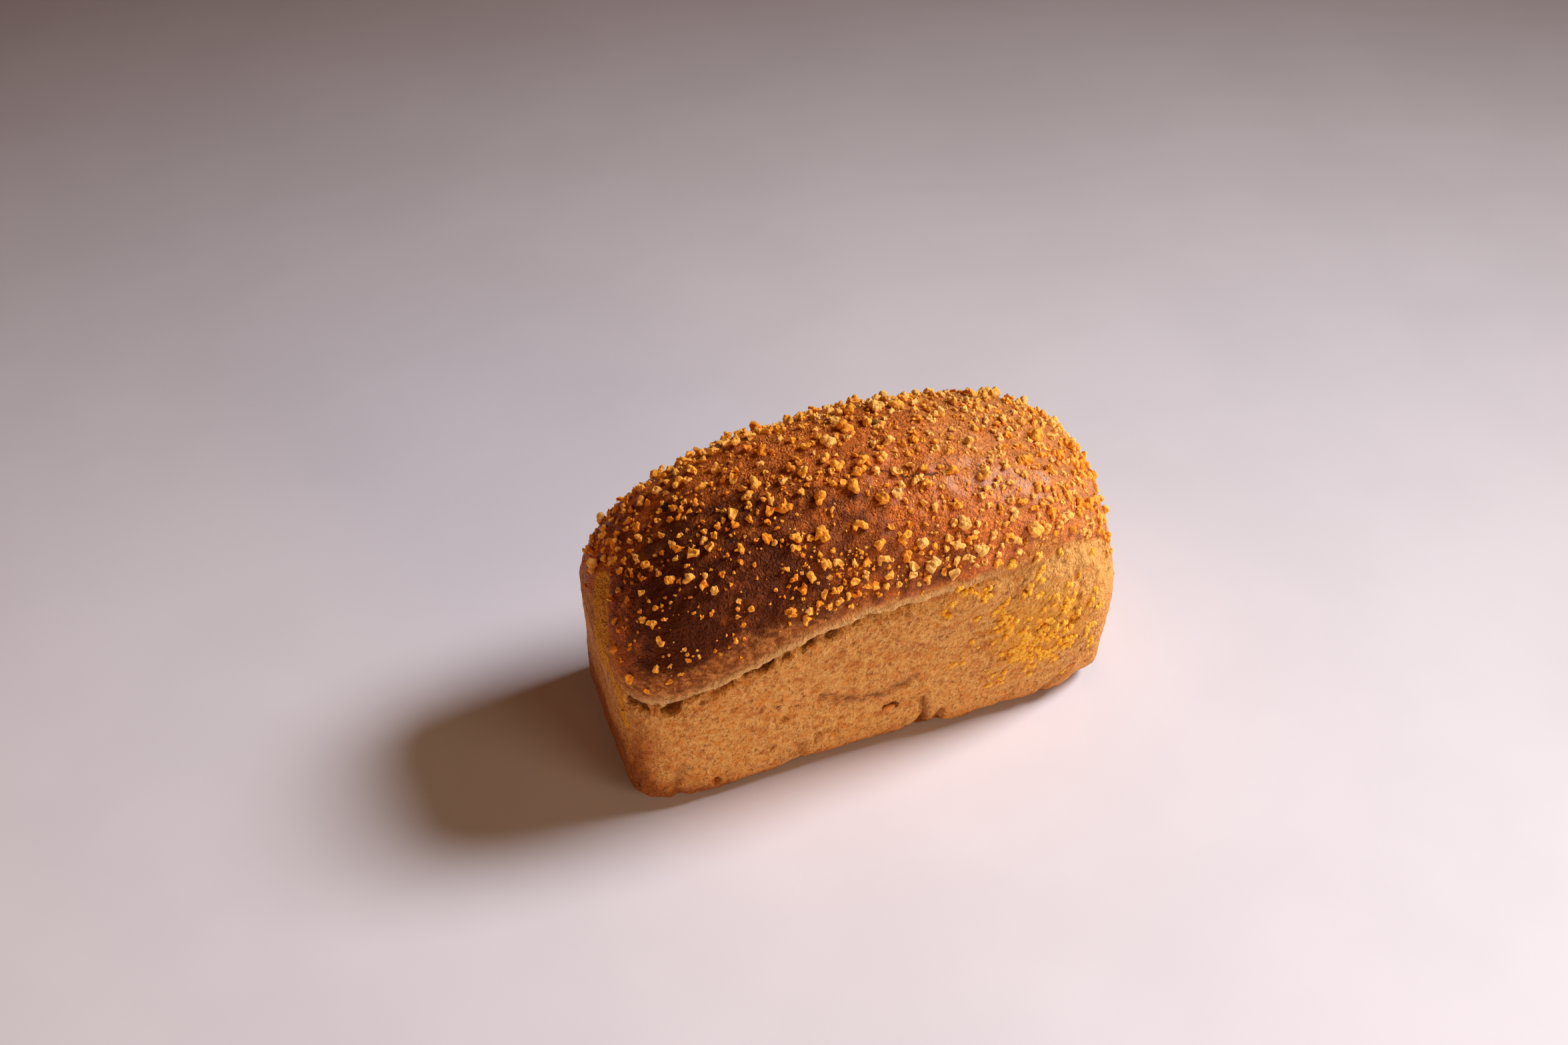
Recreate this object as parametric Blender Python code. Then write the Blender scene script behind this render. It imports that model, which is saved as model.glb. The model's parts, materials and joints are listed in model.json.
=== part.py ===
"""A small loaf of corn bread, baked in a tin and strewn with corn crumbs. It is one solid.

The long side with the split under its crust faces -Y, and the loaf stands on z = 0.
"""

import math

import bmesh
import bpy
import numpy as np
from mathutils import Matrix, Vector, noise

MM = 0.001

# The bare loaf. The tin narrows towards its floor, and the crown closes in above the shoulder.
LOAF_LENGTH = 190 * MM
LOAF_WIDTH = 89 * MM
LOAF_HEIGHT = 114.5 * MM
BASE_LENGTH = 181 * MM
BASE_WIDTH = 76 * MM
SHOULDER_HEIGHT = 71 * MM
BASE_EDGE_RADIUS = 9 * MM
BASE_SQUARENESS = 8.5
SHOULDER_SQUARENESS = 3.7
CROWN_FULLNESS = 2.3
LEFT_END_DROP = 15.5 * MM
RIGHT_END_DROP = 9.5 * MM
END_DROP_POWER = 1.8

# The split that runs round the loaf under its crust, where the dough rose out of the tin.
RIM_HEIGHT = 83 * MM
CORNER_REACH = 48 * MM
CORNER_DIPS = {(-1, -1): 28 * MM, (-1, 1): 17 * MM, (1, -1): 5 * MM, (1, 1): 12 * MM}
SPLIT_DEPTH = 2.6 * MM
SPLIT_SPREAD = 4.5 * MM
LIP_PROUD = 1.9 * MM
LIP_HEIGHT = 4.5 * MM
LIP_SPREAD = 7 * MM
LIP_OVERHANG = 1.3 * MM
SPLIT_ENDS_AT = 52 * MM
SPLIT_FADE = 36 * MM
FAINTEST_SPLIT = 0.08
BACK_SPLIT_SHARE = 0.75
BACK_SPLIT_VARIES = 0.2
BACK_SPLIT_WAVE = 22 * MM
END_SPLIT_SHARE = 0.55
END_FACE_STARTS = 0.42 * LOAF_LENGTH
END_FACE_BLEND = 0.08 * LOAF_LENGTH

# Places where the loaf is fuller or slacker than its tin: centre, reach and height of each.
SWELLINGS = (
    ((-93, 30, 48), 34, -2.0),
    ((84, -30, 80), 20, -4.2),
    ((88, 12, 86), 18, 1.0),
    ((92, -30, 42), 20, 1.6),
    ((-86, -38, 4), 20, 1.8),
    ((-58, -40, 4), 16, 1.2),
    ((-14, -40, 6), 15, -1.2),
    ((10, -44, 48), 34, -1.4),
    ((-14, 44, 50), 46, -1.8),
    ((-36, -22, 104), 26, -1.2),
    ((50, 22, 106), 24, -1.3),
)
# Notches in the bottom edge, where the dough did not fill the tin.
NOTCHES = (
    ((16, -39, 3), 7, -2.4),
    ((81, -37, 3), 6, -3.2),
    ((-32, -38, 2), 6, -1.2),
    ((-10, 38, 3), 8, -2.2),
    ((52, 38, 2), 7, -1.8),
    ((90, 14, 3), 8, -2.0),
)
UNEVEN_HEIGHT = 0.7 * MM
UNEVEN_LENGTH = 26 * MM
# The floor of the loaf stays flat: all relief fades out over this height.
RELIEF_STARTS_BY = 2 * MM

# Pits in the walls, each with its centre, its half sizes along, across and up, and its lean in degrees.
PITS = (
    ((3, -40, 23), (3.3, 2.2, 2.2), 12),
    ((-25, -39, 18), (1.5, 2.4, 2.8), 10),
    ((-18, -39, 17), (1.4, 2.2, 2.6), -8),
    ((-38, -40, 34), (1.8, 1.7, 1.5), 0),
    ((-63, -38, 9), (1.6, 2.0, 2.3), 20),
    ((-64, -42, 58), (6.0, 2.6, 2.2), 32),
    ((-46, -43, 68), (3.4, 2.4, 2.6), 40),
    ((-78, -38, 52), (3.2, 2.2, 2.0), 20),
    ((20, -44, 69), (2.2, 1.9, 3.2), -12),
    ((34, -44, 75), (3.4, 1.9, 1.9), 8),
    ((58, -42, 47), (4.0, 1.7, 1.7), 24),
    ((46, -41, 34), (3.6, 1.7, 1.6), 10),
    ((72, -40, 44), (3.2, 1.7, 1.7), 26),
    ((40, 40, 24), (3.0, 2.0, 2.1), -15),
    ((-52, 42, 54), (3.6, 2.0, 2.0), 20),
)

# Pits with half sizes up to this many millimetres are cut with fewer faces.
ROUGH_PIT = 3.1

# How the smooth form is cut into faces.
CELLS_ALONG = 26
CELLS_ACROSS = 12
ROWS_UNDER_SPLIT = (0, 0.05, 0.11, 0.19, 0.30, 0.42, 0.54, 0.66, 0.78, 0.88, 0.955, 0.992)
ROWS_OVER_SPLIT = (0.8 * MM, 4 * MM, 9 * MM)
ROWS_TO_CROWN = 5
CORE_INSET = 32 * MM
CORE_BOTTOM = 14 * MM
CORE_TOP = 90 * MM
LONGEST_RAY = 90 * MM
HALVINGS = 26
FLAT = 0.0001 * MM
SLOPE_STEP = 0.5 * MM

# The corn crumbs baked onto the crown, and those pressed into the right end of the front.
CRUMB_SEED = 41
SPOT_POOL = 5000
SPOTS_COMPARED = 60
CRUMB_COUNT = 168
ROUND_CRUMBS = 54
DOUBLE_CRUMBS = 26
PRESSED_COUNT = 16
LARGEST_CRUMB = 3.0 * MM
SMALLEST_CRUMB = 1.5 * MM
SECOND_CRUMB_SHARE = 0.7
SIZE_FALLS_OFF = 0.6
CRUMB_STANDS_OUT = 0.3
BLOCK_SIDE = 1.5
POINT_VARIES = (0.78, 1.22)
CRUMB_LENGTHS = (0.8, 1.3)
CRUMB_WIDTHS = (0.8, 1.1)
CRUMB_HEIGHTS = (0.65, 0.95)
# Shares of the random places that are cast on the ends, the long sides and the top.
SPOT_SHARES = (0.2, 0.3, 0.5)
CRUMB_MARGIN = 7 * MM
PRESSED_CENTRE = (60 * MM, 46 * MM)
PRESSED_REACH = (25 * MM, 25 * MM)
PRESSED_SIZE = 1.7 * MM

CRUST_COLOUR = (0.36, 0.13, 0.032, 1)
CRUST_ROUGHNESS = 0.5
SHARP_FROM = 35


def clear_scene():
    for thing in list(bpy.data.objects):
        bpy.data.objects.remove(thing)


def end_drop(x):
    """How far the crown has come down at x, from its highest point in the middle."""
    share = np.clip(np.abs(x) / (LOAF_LENGTH / 2), 1e-9, 1.3)
    return np.where(x < 0, LEFT_END_DROP, RIGHT_END_DROP) * share**END_DROP_POWER


def outside(points):
    """A number over 0 outside the smooth loaf and under 0 inside it."""
    x, y, z = points.T
    level = z + end_drop(x) * np.clip(z / SHOULDER_HEIGHT, 0, 1) ** 2
    rise = np.clip(level / SHOULDER_HEIGHT, 0, 1)
    crown = np.clip((level - SHOULDER_HEIGHT) / (LOAF_HEIGHT - SHOULDER_HEIGHT), 0, 1)
    closing = np.clip(1 - crown**CROWN_FULLNESS, 1e-6, 1) ** (1 / CROWN_FULLNESS)
    under = np.clip(BASE_EDGE_RADIUS - level, 0, BASE_EDGE_RADIUS) / BASE_EDGE_RADIUS
    foot = BASE_EDGE_RADIUS * (1 - np.sqrt(1 - under**2))
    half_length = ((BASE_LENGTH + (LOAF_LENGTH - BASE_LENGTH) * rise) / 2 - foot) * closing
    half_width = ((BASE_WIDTH + (LOAF_WIDTH - BASE_WIDTH) * rise) / 2 - foot) * closing
    squareness = BASE_SQUARENESS + (SHOULDER_SQUARENESS - BASE_SQUARENESS) * rise
    ring = np.abs(x / half_length) ** squareness + np.abs(y / half_width) ** squareness
    round_the_plan = ring ** (1 / squareness) - 1
    round_the_plan = np.where(level >= LOAF_HEIGHT, 1, round_the_plan)
    return np.maximum(round_the_plan, -z / LOAF_WIDTH)


def cast(starts, directions):
    """The points where rays from inside the loaf meet its smooth surface."""
    near = np.zeros(len(starts))
    far = np.full(len(starts), LONGEST_RAY)
    for _ in range(HALVINGS):
        middle = (near + far) / 2
        out = outside(starts + directions * middle[:, None]) > 0
        far = np.where(out, middle, far)
        near = np.where(out, near, middle)
    points = starts + directions * far[:, None]
    points[:, 2] = np.maximum(points[:, 2], 0)
    return points


def split_height(x, y):
    """Height of the split under the crust. It dips towards the corners that the dough did not fill."""
    height = np.full(np.shape(x), RIM_HEIGHT)
    for (along, across), dip in CORNER_DIPS.items():
        away = np.hypot(x - along * LOAF_LENGTH / 2, y - across * LOAF_WIDTH / 2)
        height = height - dip * np.exp(-((away / CORNER_REACH) ** 2))
    return height


def split_strength(x, y):
    """1 where the split is deep, down to 0 where the wall runs smoothly into the crust."""
    front = np.clip((SPLIT_ENDS_AT - x) / SPLIT_FADE, FAINTEST_SPLIT, 1)
    back = BACK_SPLIT_SHARE + BACK_SPLIT_VARIES * np.cos(x / BACK_SPLIT_WAVE)
    side = np.where(y < 0, front, back)
    at_end = np.clip((np.abs(x) - END_FACE_STARTS) / END_FACE_BLEND, 0, 1)
    return side * (1 - at_end * (1 - END_SPLIT_SHARE))


def bumps(points, places):
    """Sum of smooth bumps, each one a centre, a reach and a height in millimetres."""
    total = np.zeros(len(points))
    for centre, reach, height in places:
        away = np.linalg.norm(points - np.array(centre) * MM, axis=1)
        total += height * MM * np.exp(-((away / (reach * MM)) ** 2))
    return total


def relief(points):
    """How far the baked surface stands outside the smooth loaf, in metres."""
    x, y, z = points.T
    over = z - split_height(x, y)
    groove = -SPLIT_DEPTH * np.exp(-((over / SPLIT_SPREAD) ** 2))
    lip = LIP_PROUD * np.exp(-(((over - LIP_HEIGHT) / LIP_SPREAD) ** 2))
    split = np.where(over < 0, groove, lip) * split_strength(x, y)
    uneven = UNEVEN_HEIGHT * np.array([noise.noise(Vector(p) / UNEVEN_LENGTH) for p in points])
    above_floor = np.clip(z / RELIEF_STARTS_BY, 0, 1)
    return (split + bumps(points, SWELLINGS) + bumps(points, NOTCHES) + uneven) * above_floor


def baked(starts, directions):
    """Points of the baked surface along rays, with the crust's lip sagging over the split."""
    points = cast(starts, directions)
    x, y, z = points.T
    over = z - split_height(x, y)
    in_lip = (over > 0) & (over < 2 * LIP_HEIGHT)
    sag = np.where(in_lip, np.cos(over / LIP_HEIGHT * math.pi / 4), 0)
    shaped = points + directions * relief(points)[:, None]
    shaped[:, 2] -= LIP_OVERHANG * sag * split_strength(x, y)
    shaped[:, 2] = np.where(z > 0, np.maximum(shaped[:, 2], 0), 0)
    return shaped


def rays_through(block):
    """Starts on a block inside the loaf, and directions through points of the box round the loaf."""
    inner = np.array([LOAF_LENGTH / 2 - CORE_INSET, LOAF_WIDTH / 2 - CORE_INSET])
    starts = block.copy()
    starts[:, :2] = np.clip(block[:, :2], -inner, inner)
    starts[:, 2] = np.clip(block[:, 2], CORE_BOTTOM, CORE_TOP)
    directions = block - starts
    return starts, directions / np.linalg.norm(directions, axis=1)[:, None]


def wall_rows(x, y):
    """Heights of the rows of points up the box's side at (x, y), close together round the split."""
    split = float(split_height(x, y))
    heights = [split * share for share in ROWS_UNDER_SPLIT] + [split + up for up in ROWS_OVER_SPLIT]
    last = heights[-1]
    return heights + [
        last + (LOAF_HEIGHT - last) * row / ROWS_TO_CROWN for row in range(1, ROWS_TO_CROWN + 1)
    ]


def box_outline():
    """Points round the box seen from above, and the grid of its top and bottom."""
    along = [LOAF_LENGTH * (i / CELLS_ALONG - 0.5) for i in range(CELLS_ALONG + 1)]
    across = [LOAF_WIDTH * (j / CELLS_ACROSS - 0.5) for j in range(CELLS_ACROSS + 1)]
    ring = [(x, across[0]) for x in along[:-1]] + [(along[-1], y) for y in across[:-1]]
    ring += [(x, across[-1]) for x in along[:0:-1]] + [(along[0], y) for y in across[:0:-1]]
    return ring, along, across


def add_lid(mesh, along, across, height, corner_of, facing_up):
    """A grid of faces over the box at one height, joined to the wall's last row."""
    inside = {}
    for i, x in enumerate(along):
        for j, y in enumerate(across):
            inside[i, j] = corner_of.get((x, y)) or mesh.verts.new((x, y, height))
    for i in range(CELLS_ALONG):
        for j in range(CELLS_ACROSS):
            corners = [inside[i, j], inside[i + 1, j], inside[i + 1, j + 1], inside[i, j + 1]]
            mesh.faces.new(corners if facing_up else corners[::-1])


def loaf_core():
    """The bare loaf as a mesh: a gridded box whose points are cast onto the baked surface."""
    ring, along, across = box_outline()
    mesh = bmesh.new()
    columns = [[mesh.verts.new((x, y, z)) for z in wall_rows(x, y)] for x, y in ring]
    for n, column in enumerate(columns):
        beside = columns[(n + 1) % len(columns)]
        for row in range(len(column) - 1):
            mesh.faces.new((column[row], beside[row], beside[row + 1], column[row + 1]))
    for row, height in ((0, 0.0), (-1, LOAF_HEIGHT)):
        corner_of = {spot: column[row] for spot, column in zip(ring, columns)}
        add_lid(mesh, along, across, height, corner_of, facing_up=row == -1)
    block = np.array([vertex.co for vertex in mesh.verts])
    for vertex, place in zip(mesh.verts, baked(*rays_through(block))):
        vertex.co = place
    floor = [face for face in mesh.faces if all(vertex.co.z < FLAT for vertex in face.verts)]
    bmesh.ops.dissolve_faces(mesh, faces=floor, use_verts=True)
    bmesh.ops.recalc_face_normals(mesh, faces=mesh.faces)
    return mesh


def normal_at(point):
    """Direction straight out of the smooth loaf at a point."""
    moves = np.vstack([np.eye(3), -np.eye(3)]) * SLOPE_STEP
    ahead = outside(np.array(point) + moves)
    return Vector(ahead[:3] - ahead[3:]).normalized()


def crown_spots(draw):
    """Random places on the crown, well above the split."""
    box = np.array([LOAF_LENGTH, LOAF_WIDTH, LOAF_HEIGHT])
    spots = (draw.random((SPOT_POOL, 3)) - (0.5, 0.5, 0)) * box
    side = draw.choice(3, SPOT_POOL, p=SPOT_SHARES)
    spots[side == 0, 0] = np.sign(spots[side == 0, 0]) * LOAF_LENGTH / 2
    spots[side == 1, 1] = np.sign(spots[side == 1, 1]) * LOAF_WIDTH / 2
    spots[side == 2, 2] = LOAF_HEIGHT
    spots = baked(*rays_through(spots))
    return spots[spots[:, 2] > split_height(spots[:, 0], spots[:, 1]) + CRUMB_MARGIN]


def pressed_spots(draw):
    """Random places in the patch of crumbs pressed into the right end of the front."""
    angle = draw.uniform(0, 2 * math.pi, SPOT_POOL)
    share = np.sqrt(draw.random(SPOT_POOL))
    x = PRESSED_CENTRE[0] + PRESSED_REACH[0] * share * np.cos(angle)
    z = PRESSED_CENTRE[1] + PRESSED_REACH[1] * share * np.sin(angle)
    front = np.full(SPOT_POOL, -LOAF_WIDTH / 2)
    return baked(*rays_through(np.column_stack([x, front, z])))


def spread_out(draw, spots, count):
    """Places spread evenly: each is the one of a few that lies furthest from those before it."""
    gaps = np.full(len(spots), np.inf)
    chosen = []
    for _ in range(count):
        few = draw.choice(len(spots), SPOTS_COMPARED)
        best = few[gaps[few].argmax()]
        chosen.append(Vector(spots[best]))
        gaps = np.minimum(gaps, np.linalg.norm(spots - spots[best], axis=1))
    return chosen


def crumb_object(name, draw, place, size, rounded, folder):
    """One rough lump of corn crumb, half sunk in the crust."""
    mesh = bmesh.new()
    if rounded:
        bmesh.ops.create_icosphere(mesh, subdivisions=1, radius=size)
    else:
        bmesh.ops.create_cube(mesh, size=BLOCK_SIDE * size)
    for vertex in mesh.verts:
        vertex.co *= draw.uniform(*POINT_VARIES)
    outward = normal_at(place)
    turn = outward.to_track_quat("Z", "Y").to_matrix().to_4x4()
    spin = Matrix.Rotation(draw.uniform(0, 2 * math.pi), 4, "Z")
    shape = Matrix.Diagonal([draw.uniform(*span) for span in (CRUMB_LENGTHS, CRUMB_WIDTHS, CRUMB_HEIGHTS)])
    centre = place + outward * size * CRUMB_STANDS_OUT
    mesh.transform(Matrix.Translation(centre) @ turn @ spin @ shape.to_4x4())
    data = bpy.data.meshes.new(name)
    mesh.to_mesh(data)
    mesh.free()
    crumb = bpy.data.objects.new(name, data)
    folder.objects.link(crumb)


def scatter_crumbs(folder):
    """Crumbs over the crown, the largest first, and a few pressed into the front."""
    draw = np.random.default_rng(CRUMB_SEED)
    for n, place in enumerate(spread_out(draw, crown_spots(draw), CRUMB_COUNT)):
        share = n / (CRUMB_COUNT - 1)
        size = LARGEST_CRUMB + (SMALLEST_CRUMB - LARGEST_CRUMB) * share**SIZE_FALLS_OFF
        crumb_object(f"crumb_{n}", draw, place, size, n < ROUND_CRUMBS, folder)
        if n < DOUBLE_CRUMBS:
            beside = normal_at(place).orthogonal().normalized()
            beside.rotate(Matrix.Rotation(draw.uniform(0, 2 * math.pi), 3, normal_at(place)))
            second = place + beside * size
            crumb_object(f"crumb_{n}_beside", draw, second, size * SECOND_CRUMB_SHARE, False, folder)
    for n, place in enumerate(spread_out(draw, pressed_spots(draw), PRESSED_COUNT)):
        crumb_object(f"pressed_{n}", draw, place, PRESSED_SIZE, False, folder)


def pit_object(name, centre, half_sizes, lean, folder):
    """A cutter for one pit in a wall."""
    mesh = bmesh.new()
    bmesh.ops.create_icosphere(mesh, subdivisions=2 if max(half_sizes) > ROUGH_PIT else 1, radius=1)
    stretch = Matrix.Diagonal((*(size * MM for size in half_sizes), 1))
    turn = Matrix.Rotation(math.radians(-lean), 4, "Y")
    mesh.transform(Matrix.Translation(Vector(centre) * MM) @ turn @ stretch)
    data = bpy.data.meshes.new(name)
    mesh.to_mesh(data)
    mesh.free()
    pit = bpy.data.objects.new(name, data)
    folder.objects.link(pit)


def combine(loaf, folder, operation):
    """Applies one Boolean of the loaf with all that a collection holds, then empties it."""
    modifier = loaf.modifiers.new(folder.name, "BOOLEAN")
    modifier.operand_type = "COLLECTION"
    modifier.collection = folder
    modifier.operation = operation
    modifier.solver = "MANIFOLD"
    graph = bpy.context.evaluated_depsgraph_get()
    combined = bpy.data.meshes.new_from_object(loaf.evaluated_get(graph))
    loaf.modifiers.remove(modifier)
    loaf.data = combined
    for thing in list(folder.objects):
        bpy.data.objects.remove(thing)
    bpy.data.collections.remove(folder)


def new_folder(name):
    folder = bpy.data.collections.new(name)
    bpy.context.scene.collection.children.link(folder)
    return folder


def keep_outer_skin(data):
    """Drops what the union left apart from the outer skin: small sealed hollows and loose scraps."""
    mesh = bmesh.new()
    mesh.from_mesh(data)
    unseen = set(mesh.faces)
    skins = []
    while unseen:
        skin = {unseen.pop()}
        edge_of_skin = list(skin)
        while edge_of_skin:
            face = edge_of_skin.pop()
            beside = {other for edge in face.edges for other in edge.link_faces} & unseen
            unseen -= beside
            skin |= beside
            edge_of_skin.extend(beside)
        skins.append(skin)
    outer = max(skins, key=len)
    scraps = [face for face in mesh.faces if face not in outer]
    bmesh.ops.delete(mesh, geom=scraps, context="FACES")
    mesh.to_mesh(data)
    mesh.free()


def stand_centred(data):
    """Moves the mesh so that the middle of its box is over the origin and its base is at z = 0."""
    places = np.array([vertex.co for vertex in data.vertices])
    middle = (places.min(axis=0) + places.max(axis=0)) / 2
    data.transform(Matrix.Translation((-middle[0], -middle[1], -places[:, 2].min())))


def crust_material():
    material = bpy.data.materials.new("crust")
    material.use_nodes = True
    shader = material.node_tree.nodes["Principled BSDF"]
    shader.inputs["Base Color"].default_value = CRUST_COLOUR
    shader.inputs["Roughness"].default_value = CRUST_ROUGHNESS
    shader.inputs["Metallic"].default_value = 0
    return material


def build_loaf():
    mesh = loaf_core()
    data = bpy.data.meshes.new("cornbread_loaf")
    mesh.to_mesh(data)
    mesh.free()
    loaf = bpy.data.objects.new("cornbread_loaf", data)
    bpy.context.scene.collection.objects.link(loaf)
    pits = new_folder("pits")
    for n, (centre, half_sizes, lean) in enumerate(PITS):
        pit_object(f"pit_{n}", centre, half_sizes, lean, pits)
    combine(loaf, pits, "DIFFERENCE")
    crumbs = new_folder("crumbs")
    scatter_crumbs(crumbs)
    combine(loaf, crumbs, "UNION")
    keep_outer_skin(loaf.data)
    stand_centred(loaf.data)
    loaf.data.materials.clear()
    loaf.data.materials.append(crust_material())
    loaf.data.shade_smooth()
    loaf.data.set_sharp_from_angle(angle=math.radians(SHARP_FROM))


clear_scene()
build_loaf()
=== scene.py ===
"""A tin-baked corn bread loaf, dressed: its crust and walls, its corn crumbs, its seeds and its light."""

import json
import logging
import math
from dataclasses import dataclass, field
from enum import Enum
from typing import Any, Callable

import bmesh
import bpy
import numpy as np
from mathutils import Euler, Matrix, Vector, noise
from mathutils.kdtree import KDTree

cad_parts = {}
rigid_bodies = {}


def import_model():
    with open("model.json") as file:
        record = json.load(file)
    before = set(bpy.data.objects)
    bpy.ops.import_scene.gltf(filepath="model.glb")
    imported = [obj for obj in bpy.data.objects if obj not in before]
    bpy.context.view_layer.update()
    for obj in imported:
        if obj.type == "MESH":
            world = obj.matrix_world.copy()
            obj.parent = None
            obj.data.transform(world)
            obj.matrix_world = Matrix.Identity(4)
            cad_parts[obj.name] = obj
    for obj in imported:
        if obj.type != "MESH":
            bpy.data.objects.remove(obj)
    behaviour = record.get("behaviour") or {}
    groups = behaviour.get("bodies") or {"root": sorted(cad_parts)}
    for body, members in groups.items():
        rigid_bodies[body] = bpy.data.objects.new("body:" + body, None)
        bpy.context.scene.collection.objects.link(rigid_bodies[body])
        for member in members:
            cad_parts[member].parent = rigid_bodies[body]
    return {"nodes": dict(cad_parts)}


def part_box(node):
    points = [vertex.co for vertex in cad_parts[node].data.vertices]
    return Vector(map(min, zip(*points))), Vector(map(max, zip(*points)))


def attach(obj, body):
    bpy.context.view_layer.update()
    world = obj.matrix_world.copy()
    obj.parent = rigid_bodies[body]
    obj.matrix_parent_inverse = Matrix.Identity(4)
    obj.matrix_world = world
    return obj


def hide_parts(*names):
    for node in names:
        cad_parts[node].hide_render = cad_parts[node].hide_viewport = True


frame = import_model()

LOG = logging.getLogger("corn_bread")
MM = 0.001
NODE = "cornbread_loaf"
BODY = "root"


class Slot(Enum):
    """The record's material slots."""

    CRUST = "crust"
    CORN = "corn_crumb"


def rough(points: np.ndarray, length: float, seed: int) -> np.ndarray:
    """Smooth noise at each point.

    Args:
        points: One row for each point, in metres.
        length: Size of the noise's lumps in metres, one number or one for each axis.
        seed: Moves the pattern, so that two calls differ.

    Returns:
        One number from about -1 to 1 for each point.
    """
    moved = points / np.asarray(length) + np.array([17.3, 5.1, 9.7]) * seed
    return np.array([noise.noise(place) for place in moved.tolist()])


def cells(points: np.ndarray, length: float, seed: int) -> np.ndarray:
    """Distance to the nearest of scattered seeds.

    Args:
        points: One row for each point, in metres.
        length: Mean distance between the seeds in metres, one number or one for each axis.
        seed: Moves the pattern.

    Returns:
        The distance in units of the length, from 0 at a seed to about 1.
    """
    moved = points / np.asarray(length) + np.array([3.7, 8.3, 1.9]) * seed
    return np.array([noise.voronoi(place)[0][0] for place in moved.tolist()])


def ease(value: np.ndarray, low: float, high: float) -> np.ndarray:
    """Smooth step from 0 at low to 1 at high."""
    share = np.clip((value - low) / (high - low), 0, 1)
    return share * share * (3 - 2 * share)


def bell(value: np.ndarray, middle: float, reach: float) -> np.ndarray:
    """A bump of height 1 at the middle, which dies away over the reach."""
    return np.exp(-(((value - middle) / reach) ** 2))


def from_path(points: np.ndarray, path: tuple) -> np.ndarray:
    """Distance of each point from a bent line.

    Args:
        points: One row for each point.
        path: The line's own points, with as many numbers each as a row has.

    Returns:
        The distances, in the points' unit.
    """
    nearest = np.full(len(points), np.inf)
    for start, end in zip(np.array(path, float), np.array(path[1:], float)):
        step = end - start
        along = np.clip((points - start) @ step / (step @ step), 0, 1)
        nearest = np.minimum(nearest, np.linalg.norm(points - start - along[:, None] * step, axis=1))
    return nearest


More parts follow.
